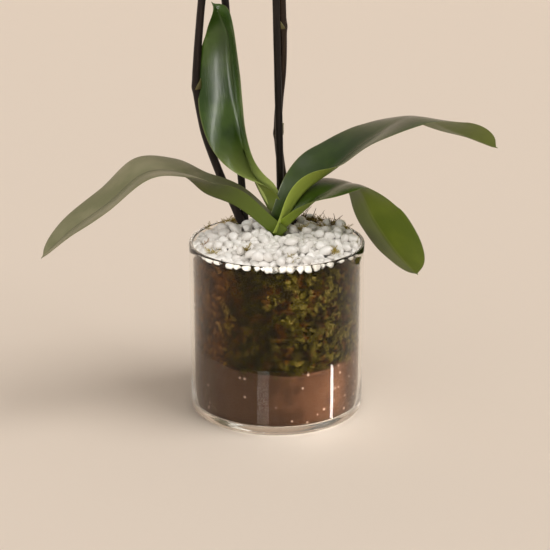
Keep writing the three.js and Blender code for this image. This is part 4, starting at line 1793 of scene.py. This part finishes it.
    def _clip(self) -> Piece:
        """The oval clip with two small grips that holds the spike to its stake.

        Returns:
            The piece.
        """
        centre = self.stake_at(self.clip_height)
        nearest = self.line[np.argmin(np.abs(self.line[:, 2] - centre[2]))]
        middle, offset = (centre + nearest) / 2, nearest - centre
        span, angle = np.linalg.norm(offset[:2]) / 2, math.atan2(offset[1], offset[0])
        inside, wall = self.stake_diameter / 2 + 1.0 * MM, 1.6 * MM
        turn = around(48)
        rings = []
        for radius, z in self._clip_section(inside, wall):
            x = radius * np.cos(turn) + np.sign(np.cos(turn)) * span
            rings.append(np.stack([x, radius * np.sin(turn), np.full_like(turn, z)], axis=1))
        rings = np.array(rings + rings[:1])
        shape = Shape()
        shape.add(rings[:-1].reshape(-1, 3), self._ring_faces(len(rings) - 1, len(turn)))
        for hand in (-1.0, 1.0):
            grip, faces = ball(7, 12)
            grip = np.sign(grip) * np.abs(grip) ** 0.6 * (0.9 * MM, 3.4 * MM, 2.8 * MM)
            shape.add(grip + (span * 0.9 * hand, inside + wall + 2.4 * MM, 0.0), faces)
        points = np.concatenate(shape.points)
        c, s = math.cos(angle), math.sin(angle)
        shape.points = [points @ np.array([[c, s, 0.0], [-s, c, 0.0], [0.0, 0.0, 1.0]]) + middle]
        skin = GradedSkin(f"clip_plastic_{self.side.value}", (0.045, 0.085, 0.030), (0.045, 0.085, 0.030),
                          (0.06, 0.10, 0.04), 0.4)
        piece = shape.piece(f"band_{self.side.value}", skin.material())
        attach(piece, "root")
        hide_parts(f"clip_{self.side.value}")
        return piece

    @staticmethod
    def _clip_section(inside: float, wall: float) -> list[tuple[float, float]]:
        """The clip's rounded section as radius and height pairs.

        Args:
            inside: The radius of its inside.
            wall: Its wall's thickness.

        Returns:
            Pairs of radius and height.
        """
        half, soft = 3.5 * MM, 0.5 * MM
        corners = [(inside, -half), (inside + wall, -half), (inside + wall, half), (inside, half)]
        section = []
        for k, (r, z) in enumerate(corners):
            sign_r = 1.0 if k in (0, 3) else -1.0
            sign_z = 1.0 if k in (0, 1) else -1.0
            steps = [(0.0, soft), (0.15 * MM, 0.15 * MM), (soft, 0.0)]
            if k in (1, 3):
                steps.reverse()
            section += [(r + sign_r * a, z + sign_z * b) for a, b in steps]
        return section

    @staticmethod
    def _ring_faces(rows: int, count: int) -> Faces:
        """Faces that close a section carried round a ring.

        Args:
            rows: Corners of the section.
            count: Places round the ring.

        Returns:
            The faces.
        """
        return [(r * count + i, r * count + (i + 1) % count,
                 ((r + 1) % rows) * count + (i + 1) % count, ((r + 1) % rows) * count + i)
                for r in range(rows) for i in range(count)]


# ---- Flowers ----


@dataclass
class Tepal:
    """One petal or sepal in a flower's own frame: +Y up, +Z towards the viewer."""

    length: float
    width: float
    angle: float
    cup: float
    broad: bool
    back: float = 0.0

    def outline(self, t: np.ndarray) -> np.ndarray:
        """Half its width at each share of its length.

        Args:
            t: Shares of the tepal's length.

        Returns:
            The half widths.
        """
        if self.broad:
            shape = np.sin(np.pi * np.clip(t, 0, 1) ** 0.80) ** 0.62
            return self.width / 2 * (0.16 * (1 - t) + 0.84 * shape) + 0.2 * MM
        shape = np.sin(np.pi * (0.06 + 0.94 * t) ** 0.92) ** 0.75
        return self.width / 2 * np.clip(0.10 * (1 - t) + 0.90 * shape, 0.012, 1.0)

    def add(self, shape: Shape, place: np.ndarray, seed: int) -> None:
        """Adds the tepal to a flower.

        Args:
            shape: The flower.
            place: The flower's frame: three axes and its place, as a 3 by 4 array.
            seed: Which unevenness it gets.
        """
        rows, columns, root, thin = 20, 13, 2.0 * MM, 0.45 * MM
        t = np.linspace(0.0, 1.0, rows)[:, None]
        s = np.linspace(-1.0, 1.0, columns)[None, :]
        half = self.outline(t)
        x = half * s * np.sqrt(1 - 0.10 * s * s)
        y = root + (self.length - root) * t * (1 - 0.06 * s * s)
        z = self.cup * np.sin(np.pi * 0.8 * t) - 1.8 * MM * s * s * np.sin(np.pi * t) - self.back
        grid = np.stack(np.broadcast_arrays(x, y, z), axis=-1)
        grid[..., 2] += wavy(grid + seed, 26.0, seed) * 1.1 * MM * (s ** 2) * np.sin(np.pi * t)
        front, behind = grid + (0, 0, thin / 2), grid - (0, 0, thin / 2)
        rings = np.concatenate([front, behind[:, ::-1]], axis=1)
        c, sn = math.cos(math.radians(self.angle)), math.sin(math.radians(self.angle))
        rings = rings @ np.array([[c, sn, 0.0], [-sn, c, 0.0], [0.0, 0.0, 1.0]])
        placed = rings @ place[:, :3].T + place[:, 3]
        share = np.concatenate([(s + 1) / 2, (s[:, ::-1] + 1) / 2], axis=1)
        surface = np.stack(np.broadcast_arrays(share, t), axis=-1)
        faces = sheet_faces(rows, columns)
        shape.add(placed.reshape(-1, 3), faces, surface.reshape(-1, 2))


@dataclass
class Flower:
    """An open flower: three sepals, two broad petals, the column and the lobed lip."""

    name: str
    place: np.ndarray
    seed: int
    span: float = 78.0 * MM

    def build(self, petal: Finish, lip: Finish) -> list[Piece]:
        """Makes the flower.

        Args:
            petal: The petals' material.
            lip: The lip's material.

        Returns:
            The petals with the column, and the lip.
        """
        half = self.span / 2
        body = Shape()
        for k, tepal in enumerate((
            Tepal(half * 0.98, half * 0.68, 0, 2.0 * MM, False, 1.2 * MM),
            Tepal(half, half * 0.58, 139, 1.0 * MM, False, 1.2 * MM),
            Tepal(half, half * 0.58, -139, 1.0 * MM, False, 1.2 * MM),
            Tepal(half, half * 1.08, 74, 3.4 * MM, True),
            Tepal(half, half * 1.08, -74, 3.4 * MM, True),
        )):
            tepal.add(body, self.place, self.seed + k)
        points, faces = ball(9, 14)
        column = points * (3.2 * MM, 3.6 * MM, 5.4 * MM) + (0.0, 0.4 * MM, 2.6 * MM)
        body.add(self._placed(column), faces, np.tile([0.5, 0.05], (len(points), 1)))
        petals = body.piece(self.name, petal)
        tongue = Shape()
        for centre, size, bend in (
            ((0.0, -9.0, 8.0), (5.0, 8.6, 1.3), 0.30), ((-5.2, -4.6, 9.4), (2.6, 5.2, 3.4), 0.0),
            ((5.2, -4.6, 9.4), (2.6, 5.2, 3.4), 0.0), ((0.0, -2.6, 8.4), (2.2, 2.2, 1.8), 0.0),
        ):
            lobe = points * size
            lobe[:, 2] += bend * lobe[:, 0] ** 2 / 3.0 - bend * 0.35 * lobe[:, 1]
            share = np.stack([(points[:, 0] + 1) / 2, (1 - points[:, 1]) / 2], axis=1)
            tongue.add(self._placed((lobe + centre) * MM), faces, share)
        for hand in (-1.0, 1.0):
            t = np.linspace(0.0, 1.0, 14)
            drop, rise = -16.5 - 4.5 * t + 5.0 * t * t, 7.0 + 5.0 * t * t
            curl = np.stack([hand * (1.2 + 3.2 * t), drop, rise], axis=1) * MM
            sweep(tongue, self._placed(curl), round_ends(0.35 * MM * (1.1 - t), curl), 6)
        lips = tongue.piece("lobe_" + self.name, lip)
        for piece, slot in ((petals, "petal"), (lips, "lip")):
            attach(piece, "root")
        return [petals, lips]

    def _placed(self, points: np.ndarray) -> np.ndarray:
        """Points of the flower's own frame, where the flower stands."""
        return points @ self.place[:, :3].T + self.place[:, 3]


def standing(end: np.ndarray, front: np.ndarray) -> np.ndarray:
    """The frame of an upright flower at a stalk's end, as three axes and its place."""
    right = unit(np.cross((0.0, 0.0, 1.0), front))
    return np.stack([right, np.cross(front, right), front, end], axis=1)


@dataclass
class Bloom:
    """The flowers and buds of one spike."""

    spike: Spike

    def build(self, petal: Finish, lip: Finish,
              bud: Finish) -> list[Piece]:
        """Makes them, each standing for its node.

        Args:
            petal: The petals' material.
            lip: The lips' material.
            bud: The buds' material.

        Returns:
            The petals, lips and buds.
        """
        made, side = [], self.spike.side.value
        for k, bloom in enumerate(self.spike.blooms, start=1):
            _, end, front = self.spike.stand(*bloom)
            petals, lobes = Flower(f"bloom_{side}_{k}", standing(end, front), 10 * k).build(petal, lip)
            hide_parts(f"flower_{side}_{k}")
            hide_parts(f"lip_{side}_{k}")
            made += [petals, lobes]
        for k, stand in enumerate(self.spike.buds, start=1):
            _, end, front = self.spike.stand(*stand)
            made.append(self._bud(f"closed_{side}_{k}", standing(end, front), (6.5 - k) * MM, bud))
            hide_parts(f"bud_{side}_{k}")
        return made

    @staticmethod
    def _bud(name: str, place: np.ndarray, radius: float,
             finish: Finish) -> Piece:
        """One closed bud: an egg with the seams of its three sepals.

        Args:
            name: Its name.
            place: The bud's frame, as for a flower.
            radius: Its radius.
            finish: Its material.

        Returns:
            The piece.
        """
        points, faces = ball(16, 24)
        turn = np.arctan2(points[:, 1], points[:, 0])
        off_seam = np.mod(turn * 3 / (2 * np.pi), 1.0) - 0.5
        seam = 1.0 - 0.07 * np.exp(-off_seam ** 2 / 0.006) * (1 - points[:, 2] ** 2)
        egg = points * seam[:, None] * (1.0, 1.0, 1.22) * radius
        share = np.stack([turn / (2 * np.pi) + 0.5, (points[:, 2] + 1) / 2], axis=1)
        shape = Shape()
        upright = egg[:, [0, 2, 1]] * (1, 1, -1)
        shape.add(upright @ place[:, :3].T + place[:, 3], faces, share)
        piece = shape.piece(name, finish)
        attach(piece, "root")
        return piece


# ---- Crown ----


@dataclass
class Crown:
    """The short stem in the middle, wrapped by old leaf bases."""

    radius: float = 7.2 * MM
    rows: int = 26

    def build(self) -> Piece:
        """Makes the crown, which stands for its node.

        Returns:
            The piece.
        """
        low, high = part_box("crown_stem")
        centre = np.array([(low[0] + high[0]) / 2, (low[1] + high[1]) / 2, 0.0])
        heights = np.linspace(low[2], high[2] - 1 * MM, self.rows)
        path = centre + heights[:, None] * (0.0, 0.0, 1.0)
        rings = 1.0 - 0.10 * np.abs(np.sin(heights / (4.2 * MM)))
        shape = Shape()
        radius = self.radius * rings * np.linspace(1.05, 0.7, self.rows)
        sweep(shape, path, round_ends(radius, path, False, True), 24)
        skin = GradedSkin("crown_skin", (0.12, 0.13, 0.03), (0.14, 0.19, 0.03), (0.08, 0.05, 0.02), 0.5)
        piece = shape.piece("crown", skin.material())
        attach(piece, "root")
        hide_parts("crown_stem")
        return piece


# ---- Studio ----


@dataclass
class Studio:
    """Plain pale floor, soft lights and the camera."""

    target: Vector = field(default_factory=lambda: Vector((-0.0015, 0.0, 0.1182)))
    distance: float = 1.3244
    pitch: float = math.radians(18.79)
    focal: float = 100.67

    def build(self, pieces: Sequence[Piece]) -> None:
        """Sets the studio up.

        Args:
            pieces: The finished pieces, which alone catch the light from the front left.
        """
        self._floor()
        self._world()
        self._sun()
        fill = self._light("fill", (-1.1, -1.6, 0.75), (1.3, 1.1), 17.0, (1.0, 0.97, 0.93))
        fill.visible_glossy = False
        window = self._light("window", (-0.54, -1.60, 0.60), (0.12, 1.60), 13.0, (1.0, 0.98, 0.94))
        self._only_on(fill, pieces)
        self._only_on(window, [piece for piece in pieces if piece.name.startswith(("blade_", "vase"))])
        self._lines([piece for piece in pieces if piece.name == "vase"])
        self._camera()
        scene = bpy.context.scene
        scene.view_settings.view_transform = "Standard"
        scene.cycles.max_bounces = 64
        scene.cycles.transmission_bounces = 24
        scene.cycles.glossy_bounces = 48

    def _lines(self, vase: Sequence[Piece]) -> None:
        """Adds two small lamps that draw upright lines of light low on the front of the glass.

        Args:
            vase: The glass, which alone they light.
        """
        for name, at, wide, power, aim in (
            ("line_right", (60.5, -61.9, 28.0), 3.6, 0.026, (46.7, -58.7, 28.0)),
            ("line_middle", (-15.8, -87.6, 28.0), 14.0, 0.013, (-11.5, -74.1, 28.0)),
        ):
            place, face = (tuple(value * MM for value in spot) for spot in (at, aim))
            line = self._light(name, place, (wide * MM, 50.0 * MM), power, (1.0, 1.0, 1.0), face)
            line.visible_transmission = False
            self._only_on(line, vase)

    @staticmethod
    def _sun() -> None:
        """Adds the even soft light from the upper right."""
        lamp = bpy.data.lights.new("key", "SUN")
        lamp.energy = 1.5
        lamp.angle = math.radians(38)
        lamp.color = (1.0, 0.965, 0.92)
        holder = bpy.data.objects.new("key", lamp)
        holder.rotation_euler = Vector((0.75, -0.25, 1.15)).to_track_quat("Z", "Y").to_euler()
        bpy.context.scene.collection.objects.link(holder)

    def _floor(self) -> None:
        """A wide floor that curves up into a backdrop."""
        mesh = bpy.data.meshes.new("floor")
        back = [(4.0, 0.0)] + [(4.0 + 2.0 * math.sin(a), 2.0 - 2.0 * math.cos(a))
                               for a in np.radians(np.linspace(10, 90, 9))] + [(6.0, 6.0)]
        section = [(-12.0, 0.0)] + back
        points = [(x, y, z - 0.3 * MM) for y, z in section for x in (-12.0, 12.0)]
        faces = [(2 * k, 2 * k + 1, 2 * k + 3, 2 * k + 2) for k in range(len(section) - 1)]
        mesh.from_pydata(points, [], faces)
        mesh.polygons.foreach_set("use_smooth", [True] * len(faces))
        mesh.materials.append(FloorPaint().material())
        floor = bpy.data.objects.new("floor", mesh)
        bpy.context.scene.collection.objects.link(floor)

    @staticmethod
    def _world() -> None:
        """Even warm light from all round."""
        world = bpy.data.worlds.new("studio")
        world.use_nodes = True
        back = world.node_tree.nodes["Background"]
        back.inputs[0].default_value = (1.0, 0.94, 0.87, 1.0)
        back.inputs[1].default_value = 0.38
        bpy.context.scene.world = world

    @staticmethod
    def _light(name: str, at: tuple[float, float, float], size: tuple[float, float], power: float,
               colour: Colour, aim: tuple[float, float, float] = (0.0, 0.0, 0.15)) -> Piece:
        """Adds one soft rectangular light.

        Args:
            name: Its name.
            at: Its place.
            size: Its width and height.
            power: Its power in watts.
            colour: Its colour.
            aim: The point that it faces.

        Returns:
            The light.
        """
        lamp = bpy.data.lights.new(name, "AREA")
        lamp.shape = "RECTANGLE"
        lamp.size, lamp.size_y = size
        lamp.energy = power
        lamp.color = colour
        holder = bpy.data.objects.new(name, lamp)
        holder.location = at
        holder.rotation_euler = (Vector(aim) - Vector(at)).to_track_quat("-Z", "Y").to_euler()
        holder.visible_camera = False
        bpy.context.scene.collection.objects.link(holder)
        return holder

    @staticmethod
    def _only_on(lamp: Piece, pieces: Sequence[Piece]) -> None:
        """Lets a lamp light only these pieces.

        Args:
            lamp: The lamp.
            pieces: The pieces.
        """
        group = bpy.data.collections.new(lamp.name + "_on")
        for piece in pieces:
            group.objects.link(piece)
        lamp.light_linking.receiver_collection = group

    def _camera(self) -> None:
        """The camera, a little above the leaves and looking down at the vase."""
        data = bpy.data.cameras.new("camera")
        data.sensor_width = 36.0
        data.lens = self.focal
        data.clip_start, data.clip_end = 0.05, 50.0
        camera = bpy.data.objects.new("camera", data)
        back = Vector((0.0, -math.cos(self.pitch), math.sin(self.pitch)))
        camera.location = self.target + back * self.distance
        camera.rotation_euler = (-back).to_track_quat("-Z", "Y").to_euler()
        bpy.context.scene.collection.objects.link(camera)
        bpy.context.scene.camera = camera


def spikes() -> list[Spike]:
    """The two flower spikes with their stakes.

    Returns:
        The left one and the right one.
    """
    return [
        Spike(Side.LEFT, (
            (-8, 14, -4), (-19, 22, -4), (-28.5, 26, 4), (-37.5, 30, 23), (-49, 30, 50), (-59.5, 29, 80),
            (-64, 29, 99), (-68, 28, 127), (-67, 28, 150), (-64, 27, 183), (-61, 27, 215), (-59.5, 31, 260),
            (-59.5, 34, 305), (-61, 35, 350), (-67, 30, 396), (-84, 22, 440), (-115, 12, 472),
            (-152, 4, 482), (-190, -2, 468), (-222, -6, 432),
        ), (-27, 32), (-0.081, 0.012), (1.0, 126.0, 205.0, 290.0, 372.0)),
        Spike(Side.RIGHT, (
            (5, 14, -4), (12, 23, -4), (14, 32, 4), (9, 36, 30), (4, 34, 55), (1, 32.5, 85), (2, 31.5, 112),
            (4.6, 28.5, 140), (5.2, 25.4, 168), (4.3, 23.8, 201), (3.1, 21, 260), (2.4, 19, 305),
            (2, 16.5, 350), (8, 9, 396), (28, -3, 438), (62, -11, 468), (100, -18, 476),
            (138, -24, 462), (170, -29, 428),
        ), (4, 29.5), (-0.0225, -0.0465), (84.0, 178.0, 270.0, 372.0)),
    ]


def main() -> None:
    """Builds the orchid and its studio."""
    logging.basicConfig(level=logging.INFO, format="%(name)s: %(message)s")
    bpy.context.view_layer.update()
    vase = Vase()
    filling, topping = Filling(vase), Topping(vase)
    made = [vase.build(), filling.soil(), *filling.moss(), topping.stones(), *topping.tufts(filling),
            topping.twigs(), Crown().build()]
    made += [leaf.build() for leaf in foliage()]
    petal, lip = PetalSkin().material(), GradedSkin(
        "lip", (0.75, 0.55, 0.20), (0.33, 0.012, 0.10), (0.20, 0.005, 0.06)).material()
    bud = GradedSkin("bud", (0.22, 0.24, 0.08), (0.42, 0.20, 0.24), (0.30, 0.20, 0.14)).material()
    for spike in spikes():
        made += spike.build()
        made += Bloom(spike).build(petal, lip, bud)
    for piece in made:
        log.info("%s: %d faces", piece.name, len(piece.data.polygons))
    Studio().build(made)


if __name__ == "__main__":
    main()
